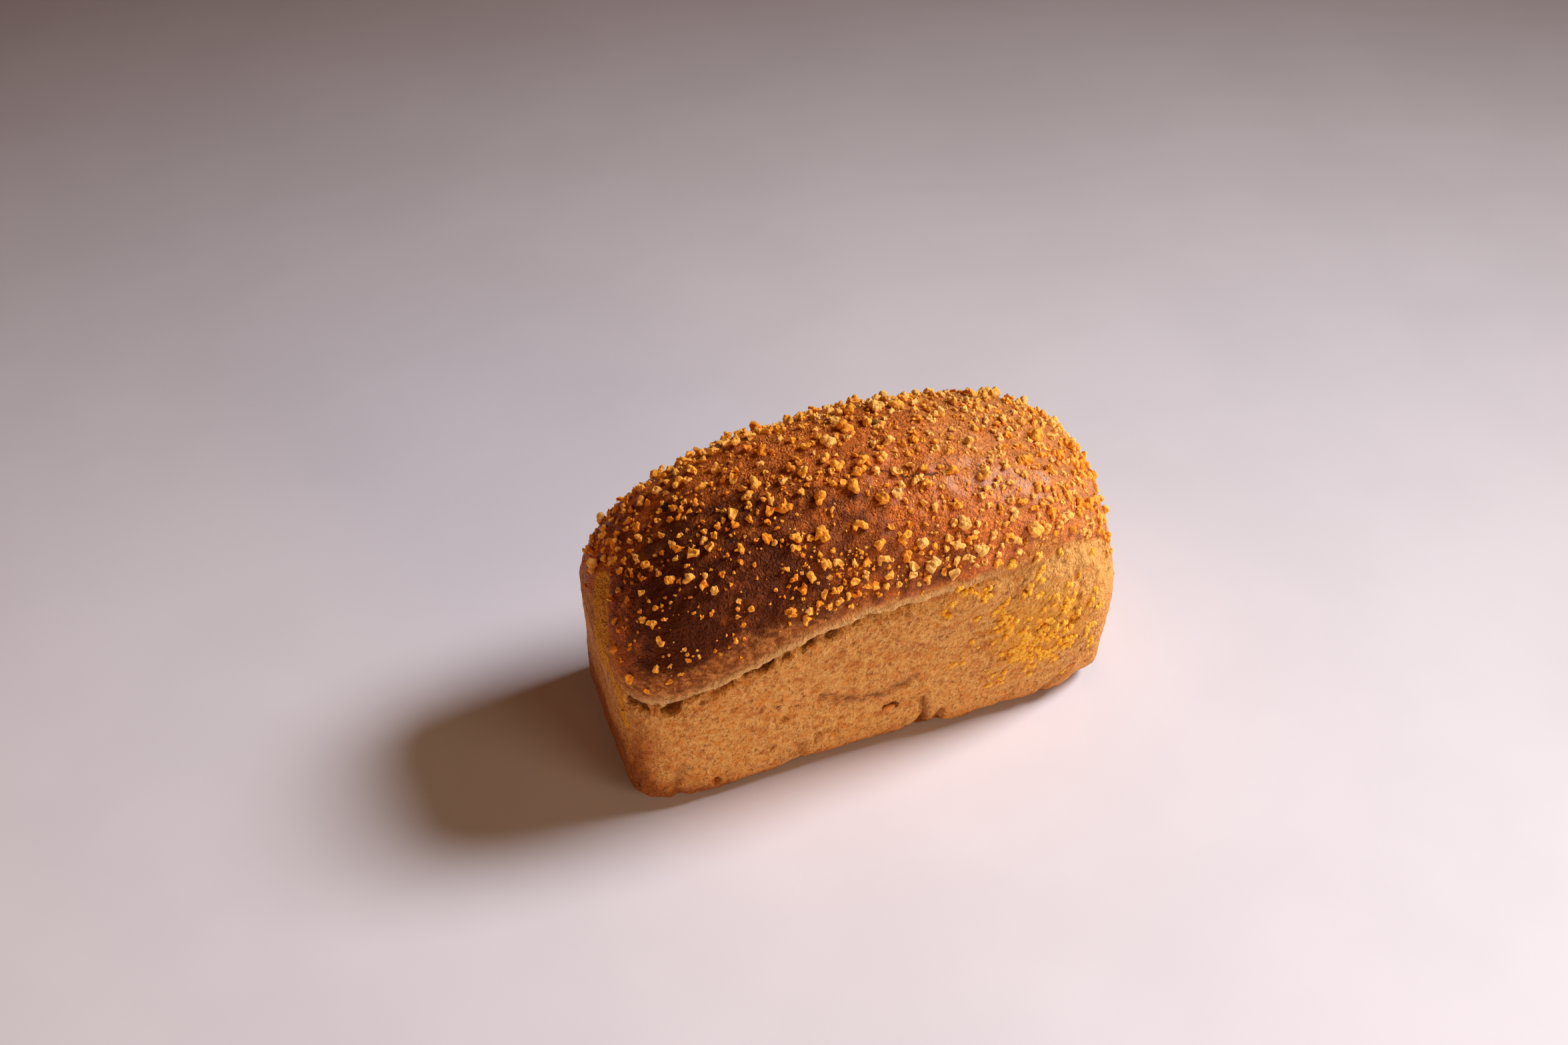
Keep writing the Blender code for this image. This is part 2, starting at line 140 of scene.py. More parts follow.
@dataclass(frozen=True)
class LoafForm:
    """The form that the tin and the oven gave the loaf, in metres, with the split front at -Y."""

    length: float = 190 * MM
    width: float = 89 * MM
    height: float = 114.5 * MM
    base_length: float = 181 * MM
    base_width: float = 76 * MM
    shoulder: float = 71 * MM
    base_edge: float = 9 * MM
    base_squareness: float = 8.5
    shoulder_squareness: float = 3.7
    crown_fullness: float = 2.3
    left_drop: float = 15.5 * MM
    right_drop: float = 9.5 * MM
    drop_power: float = 1.8
    rim: float = 83 * MM
    corner_reach: float = 48 * MM
    corner_dips: tuple = ((-1, -1, 28 * MM), (-1, 1, 17 * MM), (1, -1, 5 * MM), (1, 1, 12 * MM))
    split_depth: float = 2.6 * MM
    split_spread: float = 4.5 * MM
    split_edge: float = 0.5 * MM
    lip_proud: float = 1.9 * MM
    lip_height: float = 4.5 * MM
    lip_spread: float = 7 * MM
    lip_overhang: float = 2.3 * MM
    split_ends_at: float = 52 * MM
    split_fade: float = 36 * MM
    end_split_share: float = 0.55
    swellings: tuple = (
        ((-93, 30, 48), 34, -2.0),
        ((84, -30, 80), 20, -4.2),
        ((88, 12, 86), 18, 1.0),
        ((92, -30, 42), 20, 1.6),
        ((-86, -38, 4), 20, 1.8),
        ((-58, -40, 4), 16, 1.2),
        ((-14, -40, 6), 15, -1.2),
        ((10, -44, 48), 34, -1.4),
        ((-14, 44, 50), 46, -1.8),
        ((-36, -22, 104), 26, -1.2),
        ((50, 22, 106), 24, -1.3),
    )
    notches: tuple = (
        ((16, -39, 3), 7, -2.4),
        ((81, -37, 3), 6, -3.2),
        ((-32, -38, 2), 6, -1.2),
        ((-10, 38, 3), 8, -2.2),
        ((52, 38, 2), 7, -1.8),
        ((90, 14, 3), 8, -2.0),
    )
    pits: tuple = (
        ((2.8, -40, 23), (3.7, 2.2, 2.8), 12),
        ((-25, -39, 18), (1.5, 2.4, 2.8), 10),
        ((-18, -39, 17), (1.4, 2.2, 2.6), -8),
        ((-38, -40, 34), (1.8, 1.7, 1.5), 0),
        ((-63, -38, 9), (1.6, 2.0, 2.3), 20),
        ((-64, -42, 58), (6.0, 2.6, 2.2), 32),
        ((-46, -43, 68), (3.4, 2.4, 2.6), 40),
        ((-78, -38, 52), (3.2, 2.2, 2.0), 20),
        ((20, -44, 69), (2.2, 1.9, 3.2), -12),
        ((34, -44, 75), (3.4, 1.9, 1.9), 8),
        ((58, -42, 47), (4.0, 1.7, 1.7), 24),
        ((46, -41, 34), (3.6, 1.7, 1.6), 10),
        ((72, -40, 44), (3.2, 1.7, 1.7), 26),
        ((40, 40, 24), (3.0, 2.0, 2.1), -15),
        ((-52, 42, 54), (3.6, 2.0, 2.0), 20),
    )
    creases: tuple = (
        (((-23, 41), (-17, 36), (-7, 33), (3, 32), (11, 37)), 2.2, -0.25),
        (((7.4, 24), (5.4, 27), (1.8, 27.4), (-1.4, 25), (-1.8, 22), (0, 19), (4, 18.6), (7, 21)), 0.8, 0.7),
        (((-20, 66), (-16, 59), (-13, 48), (-15, 39)), 2.0, -0.8),
        (((-17, 66), (-13, 59), (-10, 48), (-12, 39)), 2.2, 0.7),
        (((14, 1), (17, 8), (17, 15), (15, 21)), 1.5, -2.1),
        (((23, 1), (22, 7), (23, 12)), 1.3, -1.8),
        (((-34, 2), (-30, 8), (-31, 15)), 2.0, -1.0),
        (((62, 2), (66, 9), (72, 13)), 1.8, -1.1),
        (((-76, 3), (-78, 12), (-75, 22)), 2.0, -0.9),
        (((40, 62), (47, 70), (52, 80), (54, 88)), 1.1, -0.6),
        (((70, 46), (74, 58), (70, 70), (74, 82)), 1.3, -0.7),
        (((29, 66), (33, 60), (40, 61)), 1.0, -0.5),
        (((34, 52), (44, 54)), 1.0, -0.6),
    )
    core_inset: float = 32 * MM
    core_bottom: float = 14 * MM
    core_top: float = 90 * MM
    longest_ray: float = 90 * MM
    halvings: int = 22

    def outside(self, points: np.ndarray) -> np.ndarray:
        """How far outside the smooth loaf each point is, in no fixed unit.

        Args:
            points: One row for each point, in metres.

        Returns:
            A number over 0 outside the loaf and under 0 inside it, for each point.
        """
        x, y, z = points.T
        share = np.clip(np.abs(x) / (self.length / 2), 1e-9, 1.3)
        drop = np.where(x < 0, self.left_drop, self.right_drop) * share**self.drop_power
        level = z + drop * np.clip(z / self.shoulder, 0, 1) ** 2
        rise = np.clip(level / self.shoulder, 0, 1)
        crown = np.clip((level - self.shoulder) / (self.height - self.shoulder), 0, 1)
        closing = np.clip(1 - crown**self.crown_fullness, 1e-6, 1) ** (1 / self.crown_fullness)
        under = np.clip(self.base_edge - level, 0, self.base_edge) / self.base_edge
        foot = self.base_edge * (1 - np.sqrt(1 - under**2))
        half_length = ((self.base_length + (self.length - self.base_length) * rise) / 2 - foot) * closing
        half_width = ((self.base_width + (self.width - self.base_width) * rise) / 2 - foot) * closing
        square = self.base_squareness + (self.shoulder_squareness - self.base_squareness) * rise
        ring = np.abs(x / half_length) ** square + np.abs(y / half_width) ** square
        plan = np.where(level >= self.height, 1, ring ** (1 / square) - 1)
        return np.maximum(plan, -z / self.width)

    def cast(self, starts: np.ndarray, directions: np.ndarray) -> np.ndarray:
        """Follows rays from inside the loaf to its smooth surface.

        Args:
            starts: Where the rays start.
            directions: Unit vectors, one for each start.

        Returns:
            The points where they meet the surface.
        """
        near = np.zeros(len(starts))
        far = np.full(len(starts), self.longest_ray)
        for _ in range(self.halvings):
            middle = (near + far) / 2
            out = self.outside(starts + directions * middle[:, None]) > 0
            far = np.where(out, middle, far)
            near = np.where(out, near, middle)
        points = starts + directions * far[:, None]
        points[:, 2] = np.maximum(points[:, 2], 0)
        return points

    def rays_through(self, block: np.ndarray) -> tuple[np.ndarray, np.ndarray]:
        """Rays from a block inside the loaf through points of the box round it.

        Args:
            block: The box's points, in metres.

        Returns:
            The rays' starts and their unit directions.
        """
        inner = np.array([self.length / 2 - self.core_inset, self.width / 2 - self.core_inset])
        starts = block.copy()
        starts[:, :2] = np.clip(block[:, :2], -inner, inner)
        starts[:, 2] = np.clip(block[:, 2], self.core_bottom, self.core_top)
        directions = block - starts
        return starts, directions / np.linalg.norm(directions, axis=1)[:, None]

    def split_height(self, x: np.ndarray, y: np.ndarray) -> np.ndarray:
        """Height of the split under the crust, which dips towards the slack corners of the tin.

        Args:
            x: Places along the loaf, in metres.
            y: Places across it.

        Returns:
            The heights, in metres.
        """
        height = np.full(np.shape(x), self.rim)
        for along, across, dip in self.corner_dips:
            away = np.hypot(x - along * self.length / 2, y - across * self.width / 2)
            height = height - dip * np.exp(-((away / self.corner_reach) ** 2))
        return height

    def split_strength(self, x: np.ndarray, y: np.ndarray) -> np.ndarray:
        """How deep the split is along the loaf's outline.

        Args:
            x: Places along the loaf, in metres.
            y: Places across it.

        Returns:
            1 where the split is deep, down to 0 where the wall runs smoothly into the crust.
        """
        front = np.clip((self.split_ends_at - x) / self.split_fade, 0.08, 1)
        back = 0.75 + 0.2 * np.cos(x / (22 * MM))
        at_end = np.clip((np.abs(x) / self.length - 0.42) / 0.08, 0, 1)
        return np.where(y < 0, front, back) * (1 - at_end * (1 - self.end_split_share))

    def bumps(self, points: np.ndarray, places: tuple) -> np.ndarray:
        """Sum of smooth bumps.

        Args:
            points: One row for each point, in metres.
            places: A centre, a reach and a height in millimetres for each bump.

        Returns:
            The height at each point, in metres.
        """
        total = np.zeros(len(points))
        for centre, reach, height in places:
            away = np.linalg.norm(points - np.array(centre) * MM, axis=1)
            total += height * MM * np.exp(-((away / (reach * MM)) ** 2))
        return total

    def wall_creases(self, points: np.ndarray) -> np.ndarray:
        """Folds and ridges of the front wall.

        Args:
            points: One row for each point, in metres.

        Returns:
            The height at each point, in millimetres.
        """
        x, y, z = (points / MM).T
        wandering = np.column_stack([x + 1.2 * rough(points, 5 * MM, 6), z + 1.2 * rough(points, 5 * MM, 7)])
        total = np.zeros(len(points))
        for line, reach, height in self.creases:
            total += height * bell(from_path(wandering, line), 0, reach)
        return total * ease(-y, 25, 34)

    def over_split(self, points: np.ndarray) -> np.ndarray:
        """Height of each point over the split, whose line wanders a little.

        Args:
            points: One row for each point, in metres.

        Returns:
            The heights, in metres.
        """
        x, y, z = points.T
        flat = np.column_stack([x, y, np.zeros(len(x))])
        wander = 0.9 * MM * rough(flat, 7 * MM, 3) + 0.5 * MM * rough(flat, 2.6 * MM, 4)
        return z - self.split_height(x, y) - wander

    def baked(self, starts: np.ndarray, directions: np.ndarray) -> tuple[np.ndarray, np.ndarray]:
        """The baked surface along rays, with the crust's lip sagging over the split.

        Args:
            starts: Where the rays start, inside the loaf.
            directions: Unit vectors, one for each start.

        Returns:
            The points, and each one's height over the split.
        """
        points = self.cast(starts, directions)
        x, y, z = points.T
        over = self.over_split(points)
        strength = self.split_strength(x, y)
        groove = -self.split_depth * bell(over, 0, self.split_spread)
        lip = self.lip_proud * bell(over, self.lip_height, self.lip_spread)
        above = ease(over, -self.split_edge, self.split_edge)
        uneven = 0.7 * MM * rough(points, 26 * MM, 0)
        relief = (groove * (1 - above) + lip * above) * strength + uneven
        relief += self.bumps(points, self.swellings) + self.bumps(points, self.notches)
        relief *= np.clip(z / (2 * MM), 0, 1)
        sag = above * np.cos(np.clip(over / self.lip_height * math.pi / 4, 0, math.pi / 2))
        shaped = points + directions * relief[:, None]
        shaped[:, 2] -= self.lip_overhang * sag * strength
        shaped[:, 2] = np.where(z > 0, np.maximum(shaped[:, 2], 0), 0)
        return self.cut_pits(shaped), over

    def cut_pits(self, points: np.ndarray) -> np.ndarray:
        """Pushes the walls in where a pit is, as far as the pit's rounded floor.

        Args:
            points: One row for each point, in metres.

        Returns:
            The points with the pits.
        """
        points = points.copy()
        for centre, (half_along, half_deep, half_up), lean in self.pits:
            away = points / MM - np.array(centre)
            turn = math.radians(lean)
            along = (away[:, 0] * math.cos(turn) + away[:, 2] * math.sin(turn)) / half_along
            up = (away[:, 2] * math.cos(turn) - away[:, 0] * math.sin(turn)) / half_up
            inside = (along**2 + up**2 < 1) & (np.abs(away[:, 1]) < 3 * half_deep)
            floor = np.sqrt(np.clip(1 - along**2 - up**2, 0, 1)) * half_deep
            inwards = -math.copysign(1, centre[1])
            deep = (centre[1] + inwards * floor) * MM
            deeper = np.maximum(points[:, 1], deep) if inwards > 0 else np.minimum(points[:, 1], deep)
            points[:, 1] = np.where(inside, deeper, points[:, 1])
        return points


@dataclass
class Skin:
    """The loaf's whole surface as one closed mesh, with what the oven did to each place of it and where
    shade and highlight are painted on it.
    """

    form: LoafForm
    cells_along: int = 200
    cells_across: int = 96
    rows_under: int = 80
    rows_over: int = 33
    rows_in_split: int = 9
    rows_base: int = 14
    base_starts: float = 0.72
    split_zone: float = 1.0 * MM
    points: np.ndarray = field(init=False)
    faces: list = field(init=False)
    normals: np.ndarray = field(init=False)
    over: np.ndarray = field(init=False)
    masks: dict = field(init=False, default_factory=dict)
    stripe_path: tuple = (
        (-90, 4, 77), (-92, -6, 72), (-93, -14, 65), (-93, -20, 57), (-92, -25, 49), (-91, -28, 40),
    )
    cream_path: tuple = ((58, 77), (66, 77), (77, 68), (89, 50))
    charred: tuple = ((-49, -18, 105), (-63, 10, 99))
    cling_reach: float = 5.5 * MM
    cling_width: float = 0.75

    def __post_init__(self) -> None:
        """Lays out the surface, then bakes it."""
        block, self.faces = self.grid()
        self.points, self.over = self.form.baked(*self.form.rays_through(block))
        self.normals = self.measure_normals()
        self.masks = self.find_masks()
        self.push(self.fine_relief())
        self.points += self.onto_node()

    def push(self, heights: np.ndarray) -> None:
        """Moves each point out along its normal, and none of them through the floor.

        Args:
            heights: How far each point moves, in metres.
        """
        self.points = self.points + self.normals * heights[:, None]
        self.points[:, 2] = np.maximum(self.points[:, 2], 0)
        self.normals = self.measure_normals()

    def cling(self, places: np.ndarray, sizes: np.ndarray, share: float) -> None:
        """Raises the crust a little round each crumb that was baked into it, and marks a ring of painted
        shade round each crumb.

        Args:
            places: Where the crumbs lie, in metres.
            sizes: Their sizes in metres.
            share: Height of the rise as a share of the crumb's size.
        """
        tree = KDTree(len(places))
        for n, place in enumerate(places):
            tree.insert(place, n)
        tree.balance()
        heights, crumb_shade = np.zeros(len(self.points)), np.zeros(len(self.points))
        for n in np.flatnonzero(self.masks["crown"] > 0.05):
            for _, crumb, away in tree.find_range(self.points[n], self.cling_reach):
                close = math.exp(-((away / (self.cling_width * sizes[crumb])) ** 2))
                heights[n] = max(heights[n], share * sizes[crumb] * close)
                crumb_shade[n] = max(crumb_shade[n], close)
        # A ring of painted shade round each crumb, which darkens the crust there.
        self.masks["crumb_shade"] = crumb_shade
        self.push(heights)

    def grid(self) -> tuple[np.ndarray, list]:
        """A finely gridded box round the loaf.

        Returns:
            Its points, and its faces as tuples of point numbers.
        """
        form = self.form
        along = np.linspace(-form.length / 2, form.length / 2, self.cells_along + 1)
        across = np.linspace(-form.width / 2, form.width / 2, self.cells_across + 1)
        ring = [(i, 0) for i in range(self.cells_along)]
        ring += [(self.cells_along, j) for j in range(self.cells_across)]
        ring += [(i, self.cells_across) for i in range(self.cells_along, 0, -1)]
        ring += [(0, j) for j in range(self.cells_across, 0, -1)]
        x = along[[i for i, _ in ring]]
        y = across[[j for _, j in ring]]
        up = self.row_heights(form.split_height(x, y))
        under = np.linspace(self.base_starts, 1, self.rows_base + 1)[:-1]
        spread = np.concatenate([under, np.ones(up.shape[1])])[None]
        rows = spread.shape[1]
        heights = np.concatenate([np.zeros((len(x), len(under))), up], axis=1)
        walls = np.stack([x[:, None] * spread, y[:, None] * spread, heights], 2)
        top = -np.ones((self.cells_along + 1, self.cells_across + 1), int)
        for n, (i, j) in enumerate(ring):
            top[i, j] = n * rows + rows - 1
        free = np.argwhere(top < 0)
        top[free[:, 0], free[:, 1]] = len(ring) * rows + np.arange(len(free))
        lid = np.column_stack([along[free[:, 0]], across[free[:, 1]], np.full(len(free), form.height)])
        column = np.arange(len(ring))[:, None] * rows
        beside = np.roll(column, -1, axis=0)
        row = np.arange(rows - 1)[None]
        side_faces = np.stack([column + row, beside + row, beside + row + 1, column + row + 1], 2)
        lid_faces = np.stack([top[:-1, :-1], top[1:, :-1], top[1:, 1:], top[:-1, 1:]], 2)
        faces = [tuple(face) for face in side_faces.reshape(-1, 4).tolist()]
        faces += [tuple(face) for face in lid_faces.reshape(-1, 4).tolist()]
        faces.append(tuple((np.arange(len(ring))[::-1] * rows).tolist()))
        return np.concatenate([walls.reshape(-1, 3), lid]), faces

    def row_heights(self, split: np.ndarray) -> np.ndarray:
        """Heights of the rows up each column of the box's sides, close together in the split.

        Args:
            split: The split's height at each column.

        Returns:
            One row of heights for each column.
        """
        under = np.linspace(0, 1, self.rows_under)[None] * (split - self.split_zone)[:, None]
        steps = np.linspace(-self.split_zone, self.split_zone, self.rows_in_split + 2)[1:-1]
        near = split[:, None] + steps[None]
        bottom = (split + self.split_zone)[:, None]
        over = bottom + (self.form.height - bottom) * np.linspace(0, 1, self.rows_over)[None]
        return np.concatenate([under, near, over], axis=1)

    def index_near(self, place: tuple) -> int:
        """Number of the skin's point nearest to a place in millimetres."""
        return int(np.linalg.norm(self.points - np.array(place) * MM, axis=1).argmin())

    def nearest(self, place: tuple) -> np.ndarray:
        """The skin's point nearest to a place in millimetres."""
        return self.points[self.index_near(place)]

    def measure_normals(self) -> np.ndarray:
        """Measures the surface's directions from the quads round each point.

        Returns:
            The unit normals at the points.
        """
        quads = np.array(self.faces[:-1])
        a, b, c, d = (self.points[quads[:, k]] for k in range(4))
        flat = np.cross(c - a, d - b)
        total = np.zeros_like(self.points)
        for k in range(4):
            np.add.at(total, quads[:, k], flat)
        return total / np.maximum(np.linalg.norm(total, axis=1), 1e-12)[:, None]

    def onto_node(self) -> np.ndarray:
        """Compares this surface's flat base with the base of the node that it replaces.

        Returns:
            The step that sets the one on the other.
        """
        node = np.array([vertex.co for vertex in frame["nodes"][NODE].data.vertices])
        middles = []
        for cloud in (node, self.points):
            base = cloud[cloud[:, 2] < cloud[:, 2].min() + 0.01 * MM]
            middles.append((base.min(axis=0) + base.max(axis=0)) / 2)
        return middles[0] - middles[1]

    def find_masks(self) -> dict[str, np.ndarray]:
        """Works out what the oven and the tin did to each point, and where shade and a highlight are painted
        on it.

        Returns:
            Numbers from 0 to 1 for the points, by the mask's name.
        """
        x, y, z = (self.points / MM).T
        over = self.over / MM
        front = ease(-y, 20, 36)
        edge = 4.2 + 2.4 * rough(self.points, 13 * MM, 11) + 2.6 * rough(self.points, 3.5 * MM, 12)
        edge += 4 * bell(x, 58, 7) * front - 12 * ease(x, 68, 88) + 3 * ease(-x, 20, 60) * front
        fade = 0.9 + 2.6 * ease(-x, 25, 60) * front + 2.2 * ease(x, 45, 65)
        crown = ease((over - edge) / fade, -1, 1)
        crown *= 1 - ease(-x - 0.1 * (100 - z), 85, 91) * ease(98 - z, 0, 10)
        near = [self.nearest(place) / MM for place in self.stripe_path]
        wide = 1.4 + 2.8 * ease(z, 45, 66)
        stripe = 1 - ease(from_path(self.points / MM, near) - wide, -0.5, 2.0)
        crown *= 1 - stripe
        strength = self.form.split_strength(self.points[:, 0], self.points[:, 1])
        lip = ease(over, -0.4, 0.4) * (1 - crown)
        torn = ease(-over, 0.2, 0.8) * bell(over, 0, 9) * strength
        low_edge = bell(z, 0, 7) * 0.8 + bell(z, 4, 16) * 0.35
        upright = ease(np.maximum(np.abs(x) - 66, 0) / 28 * ease(np.abs(y), 22, 36), 0.5, 1)
        toast = low_edge + 0.55 * upright * (1 - ease(z, 60, 80)) + 0.5 * bell(z, 0, 18) * ease(-x, 40, 85)
        toast += 0.75 * ease(-x, 80, 91) * (1 - ease(z, 10, 75))
        toast += 0.22 * rough(self.points, 12 * MM, 13) * ease(-x, 70, 88)
        toast = np.clip(toast, 0, 1) * (1 - crown)
        patch = np.hypot((x - 58) / 30, (z - 47) / 30)
        corn = (1 - ease(patch, 0.35, 1.1)) * front * (1 - crown)
        cream = bell(from_path(self.points[:, [0, 2]] / MM, self.cream_path), 0, 6.5) * ease(-y, 8, 24)
        cream *= 0.65 + 0.7 * rough(self.points, 5 * MM, 18)
        cream *= 1 - 0.8 * crown
        left = ease(-x, -70, 75)
        bake = 0.24 + 0.32 * left + 0.42 * left * ease(-y, -22, 26) * (1 - ease(-x, 74, 90) * 0.5)
        bake += front * (0.26 * bell(over, 9, 9) * (1 - left) - 0.1 * left * (1 - ease(over, 6, 18)))
        bake -= 0.3 * ease(x, 20, 75)
        bake += 0.08 * ease(y, 0, 30)
        bake += 0.06 * left * front
        bake += 0.16 * rough(self.points, 24 * MM, 14) + 0.12 * rough(self.points, 7 * MM, 15)
        # The gap under the lip: a groove in the relief, and painted darker as shade in the colour.
        pockets = rough(self.points, np.array([5, 5, 6]) * MM, 16) + 0.5 * rough(self.points, 2.2 * MM, 17)
        gap = ease(pockets, 0.0, 0.3) * ease(-over, 1.5, 3.0) * (1 - ease(-over, 5, 10))
        gap = np.clip(gap + 0.5 * bell(over, -2.9, 1.2), 0, 1) * strength * ease(-x, -30, 15) * (1 - stripe)
        away = [np.linalg.norm(self.points / MM - np.array(spot), axis=1) for spot in self.charred]
        char = sum(bell(gaps, 0, 2.0) for gaps in away)
        # The lip's edge: raised in the relief, and painted paler there as a highlight.
        rim = bell(over, 1.1, 1.7) * strength * front
        mauve = ease(-x, -15, 55) * ease(over, 0.5, 3.5) * (1 - ease(over, 5, 17)) * front * (1 - stripe)
        cheek = bell(np.hypot((x + 85) / 7, (z - 33) / 11), 0, 1) * ease(-y, 20, 30)
        # The dimple round the kernel, painted darker as shade in it.
        middle, (half_along, _, half_up), _ = self.form.pits[0]
        pit = 1 - ease(np.hypot((x - middle[0]) / half_along, (z - middle[2]) / half_up), 0.75, 1.05)
        return {
            "front": front,
            "pit": pit * front,
            "crown": crown,
            "lip": lip,
            "torn": np.clip(torn, 0, 1),
            "toast": toast,
            "corn": corn,
            "cream": cream,
            "bake": np.clip(bake, 0, 1),
            "stripe": stripe,
            "gap": gap,
            "rim": rim,
            "mauve": mauve,
            "cheek": cheek,
            "char": char,
            # Painted shade in the wall's folds, deeper folds darker.
            "fold_shade": np.clip(-self.form.wall_creases(self.points) / 1.4, 0, 1) * (1 - ease(z, 20, 30)),
            "fibres": bell(np.hypot((x - 62) / 26, (z - 72) / 17), 0, 1) * front * (1 - crown),
        }

    def fine_relief(self) -> np.ndarray:
        """Works out the crust's wrinkles and the walls' fibres and pits.

        Returns:
            How far each point stands out, in metres.
        """
        p, over, masks = self.points, self.over / MM, self.masks
        crown, lip, torn = masks["crown"], masks["lip"], masks["torn"]
        wall = (1 - crown) * (1 - lip)
        height = crown * (0.75 * rough(p, 9 * MM, 21) + 0.5 * rough(p, 3.8 * MM, 22))
        height += masks["cream"] * (1.7 * rough(p, 4.5 * MM, 35) + 0.9 * rough(p, 2.2 * MM, 36))
        ragged = bell(over, 8, 4.5) * (0.4 * rough(p, 2.3 * MM, 23) + 0.3 * rough(p, 4.5 * MM, 24))
        height += ragged * (1 - 0.5 * wall)
        height += lip * 0.45 * rough(p, np.array([7, 7, 2.2]) * MM, 25)
        height += wall * (0.3 * rough(p, 9 * MM, 26) + 0.2 * rough(p, np.array([2.2, 2.2, 5.0]) * MM, 27))
        fibres = 1 - np.abs(rough(p, np.array([2.6, 2.6, 4.6]) * MM, 28)) * 3
        height += wall * 0.12 * np.clip(fibres, -1, 1)
        strings = rough(p, np.array([2.0, 2.0, 11]) * MM, 29)
        height += torn * (1.4 * strings - 0.25) - 2.0 * masks["gap"]
        height += masks["rim"] * (0.4 + 0.9 * rough(p, 2.2 * MM, 38))
        height += (masks["stripe"] + 0.6 * masks["mauve"]) * 0.7 * rough(p, 2.1 * MM, 37)
        slant = np.column_stack([p[:, 0] * 0.67 + p[:, 2] * 0.74, p[:, 1], p[:, 2] * 0.67 - p[:, 0] * 0.74])
        height += masks["fibres"] * 0.55 * rough(slant, np.array([9, 9, 1.9]) * MM, 39)
        height += wall * self.form.wall_creases(p)
        near = cells(p, np.array([4.4, 4.4, 3.6]) * MM, 31)
        sparse = ease(rough(p, 14 * MM, 32), -0.15, 0.3)
        holes = (1 - ease(near, 0.1, 0.3)) * sparse * wall
        height -= 0.8 * holes
        bottom = bell(p[:, 2] / MM, 3, 5)
        height += bottom * (0.5 * rough(p, 6 * MM, 33) + 0.3 * rough(p, 2.5 * MM, 34))
        # The holes are also painted darker in the colour, as shade in them.
        self.masks["hole_shade"] = holes
        return height * MM * np.clip(p[:, 2] / (1.5 * MM), 0, 1)

    def piece(self, name: str, finish: "CrustFinish") -> bpy.types.Object:
        """The skin as an object with its masks as attributes.

        Args:
            name: The object's name.
            finish: What it is dressed in.

        Returns:
            The object, at the origin.
        """
        data = bpy.data.meshes.new(name)
        data.from_pydata(self.points.tolist(), [], self.faces)
        data.update()
        for mask, values in self.masks.items():
            layer = data.attributes.new(mask, "FLOAT", "POINT")
            layer.data.foreach_set("value", np.asarray(values, np.float32))
        data.shade_smooth()
        data.materials.append(finish.material())
        return in_scene(bpy.data.objects.new(name, data))


def in_scene(thing: bpy.types.Object) -> bpy.types.Object:
    """Links an object to the scene and returns it."""
    bpy.context.scene.collection.objects.link(thing)
    return thing


def operator(operation: str, swapped: bool = False) -> Callable:
    """Makes a method of a signal, such as one of Python's operators.

    Args:
        operation: The Math node's operation.
        swapped: Whether the signal stands on the right.

    Returns:
        The method, which adds the node.
    """

    def act(self: "Signal", other: Any) -> "Signal":
        """Adds the Math node for this signal and the other value."""
        return self.maths(operation, *((other, self) if swapped else (self, other)))

    return act


class Signal:
    """One value of a shader tree, on which Python's operators add Math nodes."""

    __add__, __radd__ = operator("ADD"), operator("ADD", True)
    __sub__, __rsub__ = operator("SUBTRACT"), operator("SUBTRACT", True)
    __mul__, __rmul__ = operator("MULTIPLY"), operator("MULTIPLY", True)
    most, least = operator("MAXIMUM"), operator("MINIMUM")

    def __init__(self, tree: "ShaderTree", socket: bpy.types.NodeSocket) -> None:
        """Wraps a socket of the tree."""
        self.tree, self.socket = tree, socket

    def __abs__(self) -> "Signal":
        """Size without the sign."""
        return self.maths("ABSOLUTE", self)

    def maths(self, operation: str, *values: Any) -> "Signal":
        """Adds a Math node for the operation on the values."""
        node = self.tree.node("ShaderNodeMath", {"operation": operation}, dict(enumerate(values)))
        return Signal(self.tree, node.outputs[0])

    def ease(self, low: float, high: float) -> "Signal":
        """Smooth step from 0 at low to 1 at high."""
        settings = {"interpolation_type": "SMOOTHSTEP", "clamp": True}
        node = self.tree.node("ShaderNodeMapRange", settings, {"Value": self, 1: low, 2: high})
        return Signal(self.tree, node.outputs["Result"])


class Wiring:
    """A node tree with one way to add its nodes."""

    def __init__(self, tree: bpy.types.NodeTree) -> None:
        """Holds the tree's nodes and links."""
        self.nodes, self.links = tree.nodes, tree.links

    def node(self, kind: str, settings: dict | None = None, values: dict | None = None) -> bpy.types.Node:
        """Adds a node.

        Args:
            kind: The node's type.
            settings: Its properties, which are set first.
            values: A number, a colour or a link for its inputs, by name or by number.

        Returns:
            The node.
        """
        node = self.nodes.new(kind)
        for key, value in (settings or {}).items():
            setattr(node, key, value)
        for key, value in (values or {}).items():
            self.feed(node.inputs[key], value)
        return node

    def feed(self, socket: bpy.types.NodeSocket, value: Any) -> None:
        """Links a signal or a socket to an input, or sets the input's own value.

        Args:
            socket: The input.
            value: What it gets.
        """
        if isinstance(value, Signal):
            value = value.socket
        if isinstance(value, bpy.types.NodeSocket):
            self.links.new(value, socket)
        else:
            socket.default_value = (*value, 1) if socket.type == "RGBA" else value


